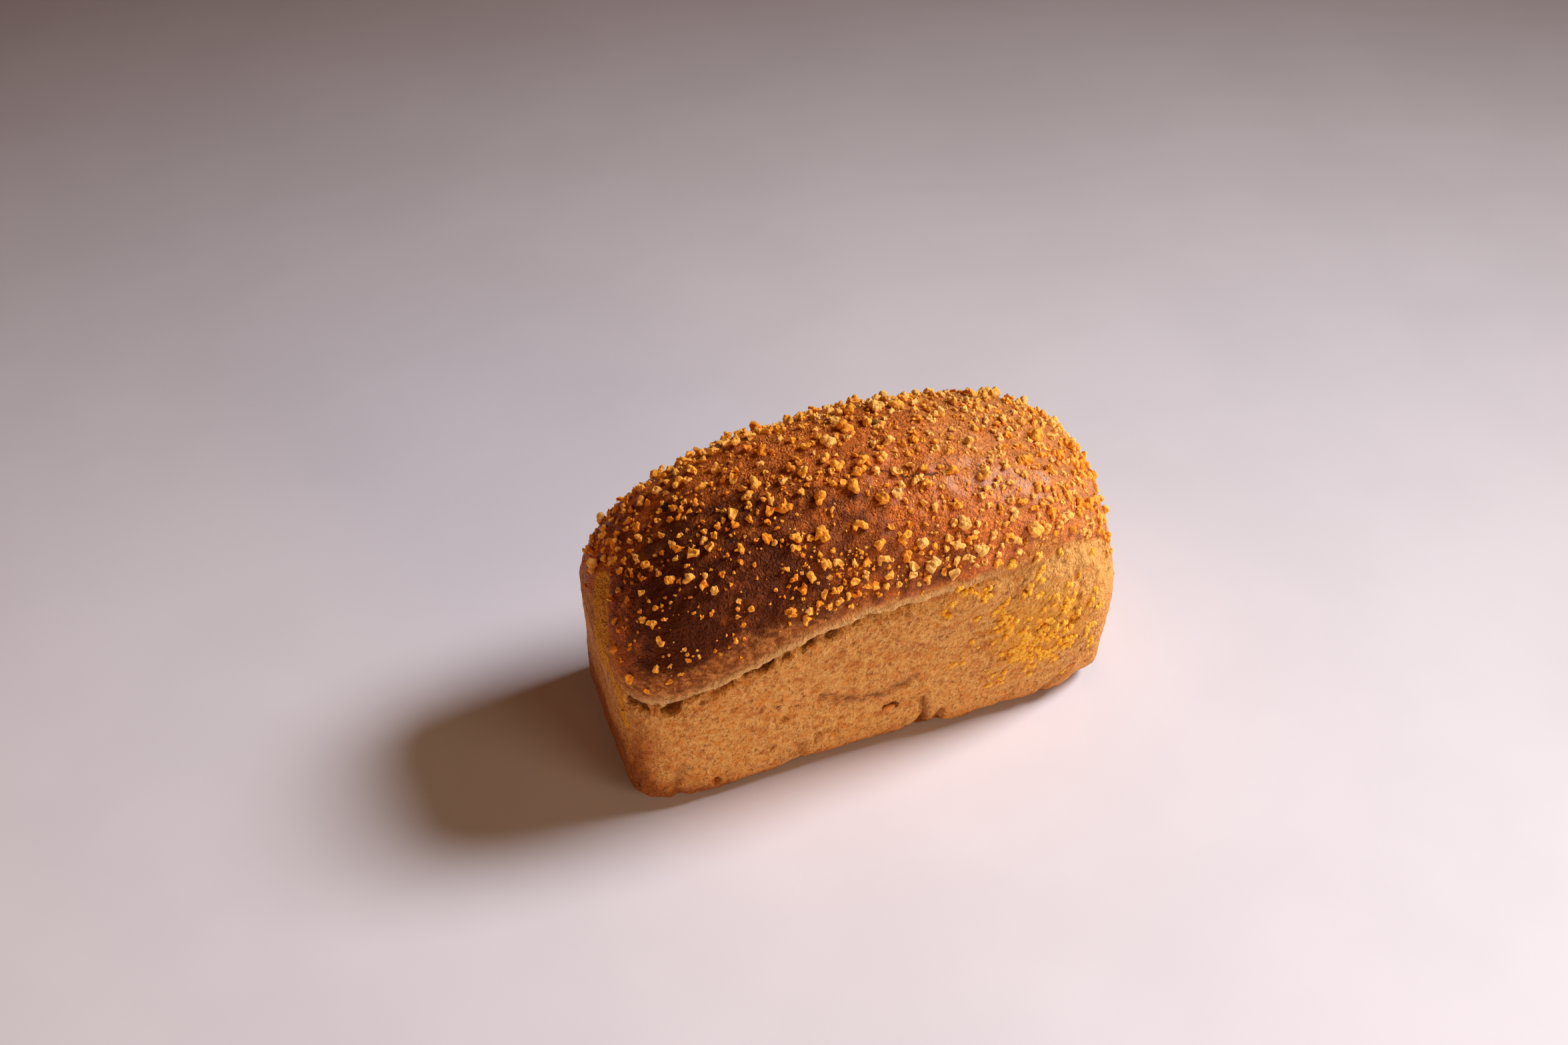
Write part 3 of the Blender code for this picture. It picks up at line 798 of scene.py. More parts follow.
class ShaderTree(Wiring):
    """A material's node tree, with short ways to add what the finishes need."""

    wobble: float = 1.3

    def __init__(self, name: str) -> None:
        """Makes a material with an empty tree and a Principled shader."""
        self.material = bpy.data.materials.new(name)
        self.material.use_nodes = True
        super().__init__(self.material.node_tree)
        self.shader = self.nodes["Principled BSDF"]
        in_metres = self.node("ShaderNodeTexCoord").outputs["Object"]
        self.place = self.vector("MULTIPLY", in_metres, (1 / MM, 1 / MM, 1 / MM))

    def vector(self, operation: str, *values: Any) -> Signal:
        """Adds a Vector Math node for the operation on the values."""
        node = self.node("ShaderNodeVectorMath", {"operation": operation}, dict(enumerate(values)))
        return Signal(self, node.outputs["Value" if operation in ("DOT_PRODUCT", "DISTANCE") else "Vector"])

    def mask(self, name: str) -> Signal:
        """One of the mesh's own attributes."""
        return Signal(self, self.node("ShaderNodeAttribute", {"attribute_name": name}).outputs["Fac"])

    def noisy(self, output: str, **values: Any) -> Signal:
        """Noise at the place in millimetres, unless the values hold another place."""
        node = self.node("ShaderNodeTexNoise", None, {"Vector": self.place} | values)
        return Signal(self, node.outputs[output])

    def grain(
        self, scale: float, detail: float = 2, stretch: tuple = (1, 1, 1), warp: float = 0, lean: float = 0
    ) -> Signal:
        """Noise from 0 to 1.

        Args:
            scale: Lumps for each millimetre.
            detail: How many finer layers it has.
            stretch: Factors on the scale along X, Y and Z.
            warp: How far the noise distorts itself.
            lean: Turn of the stretch in the front wall's plane, in degrees.

        Returns:
            The noise's value.
        """
        place = self.place
        if lean:
            values = {"Vector": place, "Angle": math.radians(lean)}
            turned = self.node("ShaderNodeVectorRotate", {"rotation_type": "Y_AXIS"}, values)
            place = Signal(self, turned.outputs[0])
        if stretch != (1, 1, 1):
            place = self.vector("MULTIPLY", place, stretch)
        return self.noisy("Fac", Vector=place, Scale=scale, Detail=detail, Distortion=warp)

    def warped(self, scale: float, far: float, detail: float = 2) -> Signal:
        """The place in millimetres, pushed about by noise by up to the given distance."""
        push = self.noisy("Color", Scale=scale, Detail=detail)
        return self.vector("MULTIPLY_ADD", push, (far, far, far), self.place)

    def cracks(self, scale: float, feature: str = "DISTANCE_TO_EDGE", place: Any = None) -> Signal:
        """Cell pattern: the distance to the cells' edges, or to their middles with feature F1."""
        values = {"Vector": place or self.place, "Scale": scale}
        pattern = self.node("ShaderNodeTexVoronoi", {"feature": feature}, values)
        return Signal(self, pattern.outputs["Distance"])

    def mix(self, share: Any, first: Any, second: Any, way: str = "MIX") -> Signal:
        """Mixes two colours: the first where share is 0, the second where it is 1.

        Args:
            share: How much of the second.
            first: A colour or a signal.
            second: A colour or a signal.
            way: The Mix node's blend type.

        Returns:
            The mixed colour.
        """
        settings = {"data_type": "RGBA", "blend_type": way, "clamp_factor": True}
        node = self.node("ShaderNodeMix", settings, {0: share, 6: first, 7: second})
        return Signal(self, node.outputs[2])

    def near_line(self, points: tuple, keep: tuple) -> Signal:
        """Distance in millimetres from a bent line through the points, which wobbles a little.

        Args:
            points: The line's points, in millimetres.
            keep: 1 for each axis that counts and 0 for the one that it is seen along.

        Returns:
            The distance.
        """
        points = [tuple(Vector(point) * Vector(keep)) for point in points]
        wobbly = self.vector("SUBTRACT", self.warped(0.35, 2 * self.wobble, 3), (self.wobble,) * 3)
        flat = self.vector("MULTIPLY", wobbly, keep)
        nearest = None
        for start, end in zip(points, points[1:]):
            length = Vector(end) - Vector(start)
            away = self.vector("SUBTRACT", flat, start)
            share = self.vector("DOT_PRODUCT", away, tuple(length / length.length_squared)).least(1).most(0)
            gap = self.vector("DISTANCE", away, self.vector("MULTIPLY", tuple(length), share))
            nearest = gap if nearest is None else nearest.least(gap)
        return nearest

    def bump(self, height: Signal, strength: float) -> bpy.types.NodeSocket:
        """A normal from a height in millimetres."""
        values = {"Height": height, "Strength": strength, "Distance": MM}
        return self.node("ShaderNodeBump", None, values).outputs["Normal"]

    def dress(self, **values: Any) -> bpy.types.Material:
        """Sets inputs of the Principled shader, with _ for a space, and returns the material."""
        for key, value in values.items():
            name = key.replace("_", " ").title().replace("Ior", "IOR")
            self.feed(self.shader.inputs[name], value)
        return self.material


@dataclass(frozen=True)
class CrustFinish:
    """The loaf's own finish: glossy brown crown, pinkish lip, fibrous tan walls."""

    crown_light: tuple = (0.82, 0.29, 0.06)
    crown_mid: tuple = (0.74, 0.195, 0.027)
    crown_dark: tuple = (0.1, 0.0165, 0.0026)
    lip_colour: tuple = (0.68, 0.28, 0.075)
    # Painted highlight along the lip's edge.
    lip_highlight: tuple = (0.92, 0.58, 0.25)
    mauve: tuple = (0.25, 0.07, 0.014)
    wall_pale: tuple = (0.92, 0.54, 0.18)
    wall_tan: tuple = (0.76, 0.29, 0.054)
    wall_orange: tuple = (0.46, 0.12, 0.014)
    # Toast-brown of the crust's edges; also the painted shade in the wall's holes, folds and the kernel's
    # dimple.
    toasted: tuple = (0.2, 0.042, 0.007)
    corn_yellow: tuple = (0.92, 0.42, 0.02)
    cream: tuple = (0.74, 0.42, 0.13)
    bruised: tuple = (0.16, 0.075, 0.03)
    charred: tuple = (0.02, 0.01, 0.006)
    # Painted shade in the gap under the lip.
    deep: tuple = (0.2, 0.07, 0.008)
    crack_line: tuple = ((-3, -13, 114), (4, -11, 114), (15, -17, 113), (25, -18, 112))
    bruise_line: tuple = ((-23, -41, 41), (-17, -41, 36), (-7, -41, 33), (3, -41, 32), (11, -41, 37))
    crown_roughness: float = 0.4
    wall_roughness: float = 0.68

    def material(self) -> bpy.types.Material:
        """Builds the material from the skin's masks and grain.

        Returns:
            The material.
        """
        tree = ShaderTree("baked_crust")
        crown = tree.mask("crown")
        brown, brown_height = self.crown(tree)
        tan, tan_height = self.wall(tree)
        between = tree.mix(tree.grain(0.4, 3).ease(0.4, 0.7), self.wall_orange, self.crown_mid)
        colour = tree.mix(crown.ease(0.0, 0.55), tan, between)
        colour = tree.mix((crown + (tree.grain(0.8, 3) - 0.5) * 0.8).ease(0.35, 0.95), colour, brown)
        mauve = (tree.mask("mauve") + (tree.grain(0.75, 4) - 0.5) * 1.1).ease(0.15, 1.0)
        mauve = mauve * tree.mask("mauve").ease(0.0, 0.3)
        blotches = tree.grain(0.45, 5, (0.8, 0.8, 1.2)).ease(0.4, 0.66)
        dusk = tree.mix(blotches, self.mauve, self.lip_colour)
        colour = tree.mix(mauve * 0.85, colour, dusk)
        # Painted highlight: a pale band along the lip's edge.
        colour = tree.mix(tree.mask("rim") * 0.85, colour, self.lip_highlight)
        height = brown_height * crown + tan_height * (1 - crown)
        gloss = crown * (0.95 - tree.mask("bake")).most(0)
        smooth = crown * (1.3 - tree.mask("bake")).least(1)
        roughness = self.wall_roughness - smooth * (self.wall_roughness - self.crown_roughness)
        roughness = roughness + (tree.grain(0.9, 2) - 0.5) * 0.2
        return tree.dress(
            base_color=colour,
            roughness=roughness,
            specular_ior_level=0.28,
            specular_tint=(1.0, 0.68, 0.45),
            coat_weight=gloss * 0.7,
            coat_roughness=0.47,
            normal=tree.bump(height, 1.0),
        )

    def crown(self, tree: ShaderTree) -> tuple[Signal, Signal]:
        """The brown crown, with its fine grain, painted sparkle and shade on that grain, painted shade round
        its crumbs, and the crack along its top.

        Args:
            tree: The material's tree.

        Returns:
            Its colour, and its height in millimetres.
        """
        bake = tree.mask("bake") + (tree.grain(0.2, 4) - 0.5) * 0.65
        colour = tree.mix(bake.ease(0.05, 0.5), self.crown_light, self.crown_mid)
        colour = tree.mix(bake.ease(0.42, 0.95), colour, self.crown_dark)
        fine = tree.grain(1.1, 3, (1, 0.7, 1), 0.6)
        # The fine grain's colour: partly the crust's own mottling, partly painted sparkle, paler and whiter
        # on the grain's tops, and painted shade, darker in its hollows.
        grain_sparkle = tree.mix((fine - 0.5) * 2.6 + 0.5, (0.62, 0.52, 0.44), (1.36, 1.42, 1.5))
        colour = tree.mix(1.0, colour, grain_sparkle, "MULTIPLY")
        # Painted shade: the crust darkened in a ring round each crumb.
        colour = tree.mix(tree.mask("crumb_shade") * 0.35, colour, self.crown_dark)
        crack = 1 - tree.near_line(self.crack_line, (1, 1, 0)).ease(0.15, 0.75)
        crack = crack * tree.mask("crown")
        colour = tree.mix(crack * 0.85, colour, self.crown_dark)
        colour = tree.mix(tree.mask("char").ease(0.2, 0.5), colour, self.charred)
        pores = tree.cracks(1.0).ease(0.0, 0.4)
        creases = tree.grain(0.32, 4, warp=1.6)
        wrinkles = 1 - abs(tree.grain(0.16, 3, (0.6, 1, 1), 1.2) - 0.5).ease(0.0, 0.03)
        height = pores * 0.25 + fine * 0.5 + creases * 1.7 - crack * 0.6 - wrinkles * 0.35
        return colour, height

    def wall(self, tree: ShaderTree) -> tuple[Signal, Signal]:
        """The walls and the lip, with their fibres, stains and pits, and painted shade in the holes, the
        folds, the kernel's dimple and the gap under the lip.

        Args:
            tree: The material's tree.

        Returns:
            Their colour, and their height in millimetres.
        """
        warped = tree.warped(0.45, 2.2)
        web = 1 - tree.cracks(0.42, place=warped).ease(0.0, 0.3)
        fine_web = 1 - tree.cracks(0.9, place=warped).ease(0.0, 0.35)
        broad = tree.grain(0.09, 3)
        mottled = broad * 0.5 + tree.grain(0.42, 4, (1, 1, 0.75), 0.6) * 0.5
        colour = tree.mix(mottled.ease(0.46, 0.66) * 0.75, self.wall_tan, self.wall_orange)
        flecks = tree.grain(0.9, 3, (1, 1, 0.6), 0.8).ease(0.42, 0.68)
        pale = (web * 0.4 + fine_web * 0.4 + flecks * 0.3) * tree.grain(0.3, 3).ease(0.28, 0.6)
        colour = tree.mix(pale, colour, self.wall_pale)
        specks = tree.grain(0.7, 4, (1, 1, 0.7), 0.5).ease(0.54, 0.72)
        colour = tree.mix(specks * 0.6, colour, self.wall_orange)
        toast = (tree.mask("toast") + (tree.grain(0.3, 4) - 0.5) * 0.9).ease(0.15, 1.15)
        colour = tree.mix(toast * 0.8, colour, self.wall_orange)
        colour = tree.mix(toast.ease(0.5, 1.1) * 0.7, colour, self.toasted)
        yellow = (tree.mask("corn") + (tree.grain(0.5, 3) - 0.5) * 0.9).ease(0.45, 0.85)
        colour = tree.mix(yellow * 0.42, colour, self.corn_yellow)
        threads = tree.grain(0.8, 3, (0.2, 1, 1.3), 0.4, 48).ease(0.44, 0.6) * tree.mask("fibres")
        colour = tree.mix(threads * 0.55, colour, self.wall_pale)
        stripe = (tree.mask("stripe") + (tree.grain(0.5, 4) - 0.5) * 1.3).ease(0.3, 0.9)
        colour = tree.mix(tree.mask("cream") * 0.85, colour, self.cream)
        smear = tree.near_line(self.bruise_line, (1, 0, 1))
        halo = (1 - smear.ease(0.4, 4.5)) * tree.mask("front") * 0.45
        colour = tree.mix(halo, colour, self.wall_orange)
        broken = tree.grain(0.55, 4, (0.6, 1, 1.6)).ease(0.44, 0.6)
        bruise = (1 - smear.ease(0.2, 3.2)) * broken * tree.mask("front")
        colour = tree.mix(bruise * 0.75, colour, self.bruised)
        cheek = (tree.mask("cheek") + (tree.grain(0.4, 3) - 0.5) * 0.8).ease(0.2, 0.9)
        colour = tree.mix(cheek * tree.mask("cheek").ease(0.0, 0.3) * 0.4, colour, self.wall_orange)
        # Painted shade in the kernel's dimple.
        pit = (tree.mask("pit") + (tree.grain(0.6, 3) - 0.5) * 0.3).ease(0.2, 0.8)
        colour = tree.mix(pit * 0.9, colour, self.toasted)
        lip = tree.mask("lip")
        streaks = tree.grain(0.6, 3, (0.35, 0.35, 1.3))
        band = tree.mix(streaks.ease(0.38, 0.62), self.lip_colour, self.wall_orange)
        colour = tree.mix(lip * 0.8, colour, band)
        speckled = tree.mix(tree.grain(0.9, 3).ease(0.52, 0.74), self.corn_yellow, self.wall_orange)
        colour = tree.mix(stripe * 0.8, colour, speckled)
        dots = 1 - tree.cracks(0.45, "F1", warped).ease(0.14, 0.36)
        dots = dots * tree.grain(0.25, 2).ease(0.5, 0.62) * (1 - lip)
        colour = tree.mix(dots * 0.6, colour, self.wall_orange)
        # Painted shade in the wall's holes.
        colour = tree.mix(tree.mask("hole_shade") * 0.6, colour, self.toasted)
        # Painted shade in the wall's folds.
        colour = tree.mix(tree.mask("fold_shade") * 0.55, colour, self.toasted)
        # Painted shade: the gap under the lip darkened.
        shade = (tree.mask("gap") + (tree.grain(0.55, 3, (1, 1, 0.7)) - 0.5) * 0.9).ease(0.2, 0.75)
        colour = tree.mix(shade * tree.mask("gap").ease(0.0, 0.25) * 0.9, colour, self.deep)
        height = web * 0.3 + fine_web * 0.2 + flecks * 0.3 - specks * 0.5 + mottled * -0.5 - dots * 0.5
        height = (height + threads * 0.35) * (1 - tree.mask("cream") * 0.6)
        return colour, height


@dataclass(frozen=True)
class CornFinish:
    """Toasted corn crumb: amber, lumpy and matt, each crumb a little different."""

    name: str
    pale: tuple = (1.0, 0.6, 0.17)
    amber: tuple = (0.99, 0.44, 0.055)
    toasted: tuple = (0.9, 0.3, 0.02)
    roughness: float = 0.72

    def material(self) -> bpy.types.Material:
        """Builds the material from each crumb's own tone, darkened towards the loaf's left end as painted
        shade.

        Returns:
            The material.
        """
        tree = ShaderTree(self.name)
        along = Signal(tree, tree.node("ShaderNodeSeparateXYZ", None, {0: tree.place}).outputs["X"])
        # The tone falls towards the loaf's left end: painted shade on the crumbs of the shaded end, besides
        # each crumb's own tone.
        tone = tree.mask("tone") + (tree.grain(0.7, 2) - 0.5) * 0.7 + along.ease(-45, 30) * 0.45 - 0.15
        colour = tree.mix(tone.ease(-0.1, 0.5), self.toasted, self.amber)
        colour = tree.mix(tone.ease(0.45, 1.2), colour, self.pale)
        height = tree.grain(1.6, 2) * 0.45
        return tree.dress(
            base_color=colour,
            roughness=self.roughness,
            subsurface_weight=0.2,
            subsurface_radius=(1.0, 0.5, 0.15),
            subsurface_scale=0.8 * MM,
            specular_ior_level=0.25,
            specular_tint=(1.0, 0.8, 0.5),
            normal=tree.bump(height, 0.8),
        )


@dataclass(frozen=True)
class SeedFinish:
    """A dry seed or kernel of one colour, darker in its streaks."""

    name: str
    colour: tuple
    streak: tuple

    def material(self) -> bpy.types.Material:
        """Builds the material.

        Returns:
            The material.
        """
        tree = ShaderTree(self.name)
        lines = tree.grain(0.9, 3, (1, 1, 0.4))
        colour = tree.mix(lines.ease(0.35, 0.7), self.colour, self.streak)
        return tree.dress(
            base_color=colour,
            roughness=0.6,
            specular_ior_level=0.2,
            specular_tint=(1.0, 0.8, 0.5),
            normal=tree.bump(lines * 0.2, 0.6),
        )


@dataclass
class CrumbShapes:
    """A small set of crumb shapes, each a lumpy closed chunk about 1 across."""

    name: str
    count: int
    subdivisions: int
    seed: int
    lumps: tuple = (8, 12)
    spread: float = 0.25
    radii: tuple = (0.17, 0.28)
    jitter: float = 0.1
    flatness: tuple = (1, 0.8, 0.62)
    least_reach: float = 0.21

    def collection(self) -> bpy.types.Collection:
        """Builds the shapes.

        Returns:
            A collection of them that the scene doesn't show.
        """
        folder = bpy.data.collections.new(self.name)
        draw = np.random.default_rng(self.seed)
        for n in range(self.count):
            mesh = bmesh.new()
            bmesh.ops.create_icosphere(mesh, subdivisions=self.subdivisions, radius=1)
            self.shape(mesh, draw)
            data = bpy.data.meshes.new(f"{self.name}_{n}")
            mesh.to_mesh(data)
            mesh.free()
            folder.objects.link(bpy.data.objects.new(f"{self.name}_{n}", data))
        return folder

    def shape(self, mesh: bmesh.types.BMesh, draw: np.random.Generator) -> None:
        """Pulls a ball's points out to the outline of a few lumps stuck together.

        Args:
            mesh: The ball.
            draw: The random numbers.
        """
        count = int(draw.integers(self.lumps[0], self.lumps[1] + 1))
        middles = draw.normal(0, self.spread, (count, 3)) * self.flatness
        radii = draw.uniform(*self.radii, count)
        way = np.array([vertex.co.normalized() for vertex in mesh.verts])
        along = way @ middles.T
        apart = (middles**2).sum(axis=1)[None] - along**2
        inside = radii[None] ** 2 - apart
        reach = np.where(inside > 0, along + np.sqrt(np.maximum(inside, 0)), self.least_reach)
        reach = reach.max(axis=1) * draw.uniform(1 - self.jitter, 1 + self.jitter, len(way))
        places = way * reach[:, None]
        places /= (places.max(axis=0) - places.min(axis=0)).max()
        for vertex, place in zip(mesh.verts, places):
            vertex.co = place


class Strewer(Wiring):
    """A Geometry Nodes tree that puts one of a set of shapes on each point of a cloud."""

    def __init__(self) -> None:
        """Builds the tree."""
        self.tree = bpy.data.node_groups.new("strew_crumbs", "GeometryNodeTree")
        super().__init__(self.tree)
        self.inputs = self.declare()
        points, shapes, finish, seed, tilt = list(self.node("NodeGroupInput").outputs)[: len(self.inputs)]
        facing = {"Vector": self.attribute("facing", "FLOAT_VECTOR")}
        upright = self.node("FunctionNodeAlignRotationToVector", {"axis": "Z"}, facing)
        lowest = self.node("ShaderNodeMath", {"operation": "MULTIPLY"}, {0: tilt, 1: -1.0}).outputs[0]
        lean_x, lean_y = (self.random("FLOAT", {2: lowest, 3: tilt}, seed, step) for step in (1, 2))
        angles = {0: lean_x, 1: lean_y, 2: self.attribute("spin", "FLOAT")}
        turn = self.node("ShaderNodeCombineXYZ", None, angles)
        turned = self.node("FunctionNodeEulerToRotation", None, {0: turn.outputs[0]})
        both = {0: upright.outputs[0], 1: turned.outputs[0]}
        local = self.node("FunctionNodeRotateRotation", {"rotation_space": "LOCAL"}, both)
        one_by_one = {"Collection": shapes, "Separate Children": True, "Reset Children": True}
        folder = self.node("GeometryNodeCollectionInfo", {"transform_space": "ORIGINAL"}, one_by_one)
        on_points = {
            "Points": points,
            "Instance": folder.outputs[0],
            "Pick Instance": True,
            "Instance Index": self.random("INT", {4: 0, 5: 1000}, seed, 3),
            "Rotation": local.outputs[0],
            "Scale": self.attribute("size", "FLOAT_VECTOR"),
        }
        placed = self.node("GeometryNodeInstanceOnPoints", None, on_points)
        tone = {"Geometry": placed.outputs[0], "Name": "tone"}
        tone["Value"] = self.random("FLOAT", {2: 0.0, 3: 1.0}, seed, 4)
        settings = {"data_type": "FLOAT", "domain": "INSTANCE"}
        toned = self.node("GeometryNodeStoreNamedAttribute", settings, tone)
        real = self.node("GeometryNodeRealizeInstances", None, {"Geometry": toned.outputs[0]})
        cover = {"Geometry": real.outputs[0], "Material": finish}
        dressed = self.node("GeometryNodeSetMaterial", None, cover)
        self.node("NodeGroupOutput", None, {0: dressed.outputs[0]})

    def declare(self) -> dict[str, str]:
        """Returns:
            The identifier of each input, by its name.
        """
        face = self.tree.interface
        face.new_socket("Geometry", in_out="OUTPUT", socket_type="NodeSocketGeometry")
        kinds = {"Points": "Geometry", "Shapes": "Collection", "Finish": "Material"}
        kinds |= {"Seed": "Int", "Tilt": "Float"}
        return {
            name: face.new_socket(name, in_out="INPUT", socket_type="NodeSocket" + kind).identifier
            for name, kind in kinds.items()
        }

    def attribute(self, name: str, kind: str) -> bpy.types.NodeSocket:
        """One of the cloud's own attributes."""
        node = self.node("GeometryNodeInputNamedAttribute", {"data_type": kind}, {"Name": name})
        return next(socket for socket in node.outputs if socket.enabled and socket.name == "Attribute")

    def random(self, kind: str, span: dict, seed: bpy.types.NodeSocket, step: int) -> bpy.types.NodeSocket:
        """A random value for each point.

        Args:
            kind: FLOAT or INT.
            span: The lowest and the highest value, by the numbers of their inputs.
            seed: The tree's seed.
            step: Moves the seed on, so that two random values differ.

        Returns:
            The value.
        """
        moved = self.node("ShaderNodeMath", {"operation": "ADD"}, {0: seed, 1: float(step)}).outputs[0]
        node = self.node("FunctionNodeRandomValue", {"data_type": kind}, span | {"Seed": moved})
        return node.outputs[{"FLOAT": 1, "INT": 2}[kind]]

    def strew(
        self, name: str, cloud: "Cloud", shapes: CrumbShapes, finish: CornFinish, seed: int, tilt: float
    ) -> bpy.types.Object:
        """Makes one piece of many crumbs.

        Args:
            name: The piece's name.
            cloud: Where the crumbs lie, and their sizes.
            shapes: The shapes to choose from.
            finish: What they are dressed in.
            seed: Seed of the tree's random values.
            tilt: How far a crumb may lean from its place's normal, in radians.

        Returns:
            The piece, as a plain mesh at the origin.
        """
        folder = shapes.collection()
        carrier = in_scene(cloud.object(name + "_points"))
        modifier = carrier.modifiers.new("strew", "NODES")
        modifier.node_group = self.tree
        values = {"Shapes": folder, "Finish": finish.material(), "Seed": seed, "Tilt": tilt}
        for key, value in values.items():
            modifier[self.inputs[key]] = value
        graph = bpy.context.evaluated_depsgraph_get()
        data = bpy.data.meshes.new_from_object(carrier.evaluated_get(graph))
        data.name = name
        carrier.modifiers.remove(modifier)
        bpy.data.objects.remove(carrier)
        for shape in list(folder.objects):
            bpy.data.objects.remove(shape)
        bpy.data.collections.remove(folder)
        return in_scene(bpy.data.objects.new(name, data))


@dataclass
class Cloud:
    """Places for crumbs: where each lies, which way is out there, its size and its turn."""

    places: np.ndarray
    facing: np.ndarray
    sizes: np.ndarray
    spins: np.ndarray
    sink: float = 0.0
    stretch: tuple = (1.0, 1.0, 1.0)

    def object(self, name: str) -> bpy.types.Object:
        """The cloud as an object of loose points with attributes.

        Args:
            name: The object's name.

        Returns:
            The object, which isn't in the scene yet.
        """
        data = bpy.data.meshes.new(name)
        centres = self.places - self.facing * (self.sizes * self.sink)[:, None]
        data.from_pydata(centres.tolist(), [], [])
        scales = self.sizes[:, None] * np.array(self.stretch)[None]
        for key, values in {"facing": self.facing, "size": scales, "spin": self.spins}.items():
            kind, slot = ("FLOAT_VECTOR", "vector") if values.ndim == 2 else ("FLOAT", "value")
            layer = data.attributes.new(key, kind, "POINT")
            layer.data.foreach_set(slot, values.astype(np.float32).ravel())
        return bpy.data.objects.new(name, data)

    def joined(self, other: "Cloud") -> "Cloud":
        """This cloud and another as one."""
        names = ("places", "facing", "sizes", "spins")
        return Cloud(*(np.concatenate([getattr(self, name), getattr(other, name)]) for name in names))


@dataclass
class Sower:
    """Chooses places for crumbs on the skin, by how thickly they lie in the real loaf."""

    skin: Skin
    seed: int
    crowding: float = 0.46
    quads: np.ndarray = field(init=False)
    areas: np.ndarray = field(init=False)

    def __post_init__(self) -> None:
        """Measures the skin's quads."""
        self.quads = np.array(self.skin.faces[:-1])
        a, b, c, d = (self.skin.points[self.quads[:, k]] for k in range(4))
        self.areas = np.linalg.norm(np.cross(c - a, d - b), axis=1) / 2

    def crown_density(self) -> np.ndarray:
        """How thickly crumbs lie: most at the back and the right end, in loose clusters.

        Returns:
            One number for each point of the skin.
        """
        skin = self.skin
        x, y, z = (skin.points / MM).T
        over = skin.over / MM
        density = 0.75 + 0.8 * ease(y, -4, 26) + 0.6 * ease(x, 50, 80)
        density *= 1 - 0.35 * ease(-x, 15, 60)
        density *= 1 - 0.55 * bell(x, 24, 34) * bell(y, -20, 22)
        density *= 1 - 0.5 * ease(-y, 22, 38) * ease(-x, 10, 50)
        clusters = ease(rough(skin.points, 11 * MM, 41), -0.45, 0.35)
        groups = ease(rough(skin.points, 4.5 * MM, 42), -0.05, 0.25)
        chain = 1.6 * bell(over, 11, 3.5) * ease(x, -35, -5) * (1 - ease(x, 70, 85)) * ease(-y, 20, 30)
        density = density * (0.2 + clusters) + chain
        return density * (0.12 + groups) * ease(over + 12 * ease(x, 68, 88), 5, 9) * skin.masks["crown"]

    def edge_density(self) -> np.ndarray:
        """How thickly fine crumbs lie: most in the ragged band along the crust's lower edge.

        Returns:
            One number for each point of the skin.
        """
        over = self.skin.over / MM
        clusters = ease(rough(self.skin.points, 8 * MM, 43), -0.2, 0.4)
        x = self.skin.points[:, 0] / MM
        band = (bell(over, 11, 6) * 1.4 + 0.5 * ease(over, 6, 12)) * ease(x, -45, -15)
        return (self.crown_density() * 1.1 + band * 0.25) * (0.05 + clusters) * ease(over, 2, 6)

    def candidates(self, draw: np.random.Generator, density: np.ndarray, count: int) -> tuple:
        """Random places on the skin, in proportion to the density.

        Args:
            draw: The random numbers.
            density: One number for each point of the skin.
            count: How many places.

        Returns:
            The places and their unit normals.
        """
        weights = self.areas * density[self.quads].mean(axis=1)
        chosen = draw.choice(len(self.quads), count, p=weights / weights.sum())
        u, v = draw.random((2, count, 1))
        shares = ((1 - u) * (1 - v), u * (1 - v), u * v, (1 - u) * v)
        corners = self.quads[chosen]
        places = sum(s * self.skin.points[corners[:, k]] for k, s in enumerate(shares))
        normals = sum(s * self.skin.normals[corners[:, k]] for k, s in enumerate(shares))
        return places, normals / np.linalg.norm(normals, axis=1)[:, None]

    def sow(self, density: np.ndarray, sizes: np.ndarray, taken: list, tries: int = 6) -> Cloud:
        """Places crumbs one by one, the largest first, each clear of those before it.

        Args:
            density: How thickly they lie at each point of the skin.
            sizes: Their sizes in metres, falling.
            taken: Places and sizes already used, as pairs of arrays, which grows.
            tries: Places drawn for each crumb, of which the first free one is used.

        Returns:
            The cloud of those that found room.
        """
        draw = np.random.default_rng(self.seed + len(taken))
        places, normals = self.candidates(draw, density, len(sizes) * tries)
        spots = np.concatenate([place for place, _ in taken] + [np.zeros((len(sizes), 3))])
        widths = np.concatenate([size for _, size in taken] + [np.zeros(len(sizes))])
        count = first = len(spots) - len(sizes)
        kept = []
        for n, size in enumerate(sizes):
            for k in range(n * tries, (n + 1) * tries):
                gaps = np.linalg.norm(spots[:count] - places[k], axis=1)
                if (gaps >= self.crowding * (widths[:count] + size)).all():
                    spots[count], widths[count] = places[k], size
                    kept.append(k)
                    count += 1
                    break
        taken.append((places[kept], widths[first:count]))
        spins = draw.uniform(0, 2 * math.pi, len(kept))
        return Cloud(places[kept], normals[kept], widths[first:count], spins)


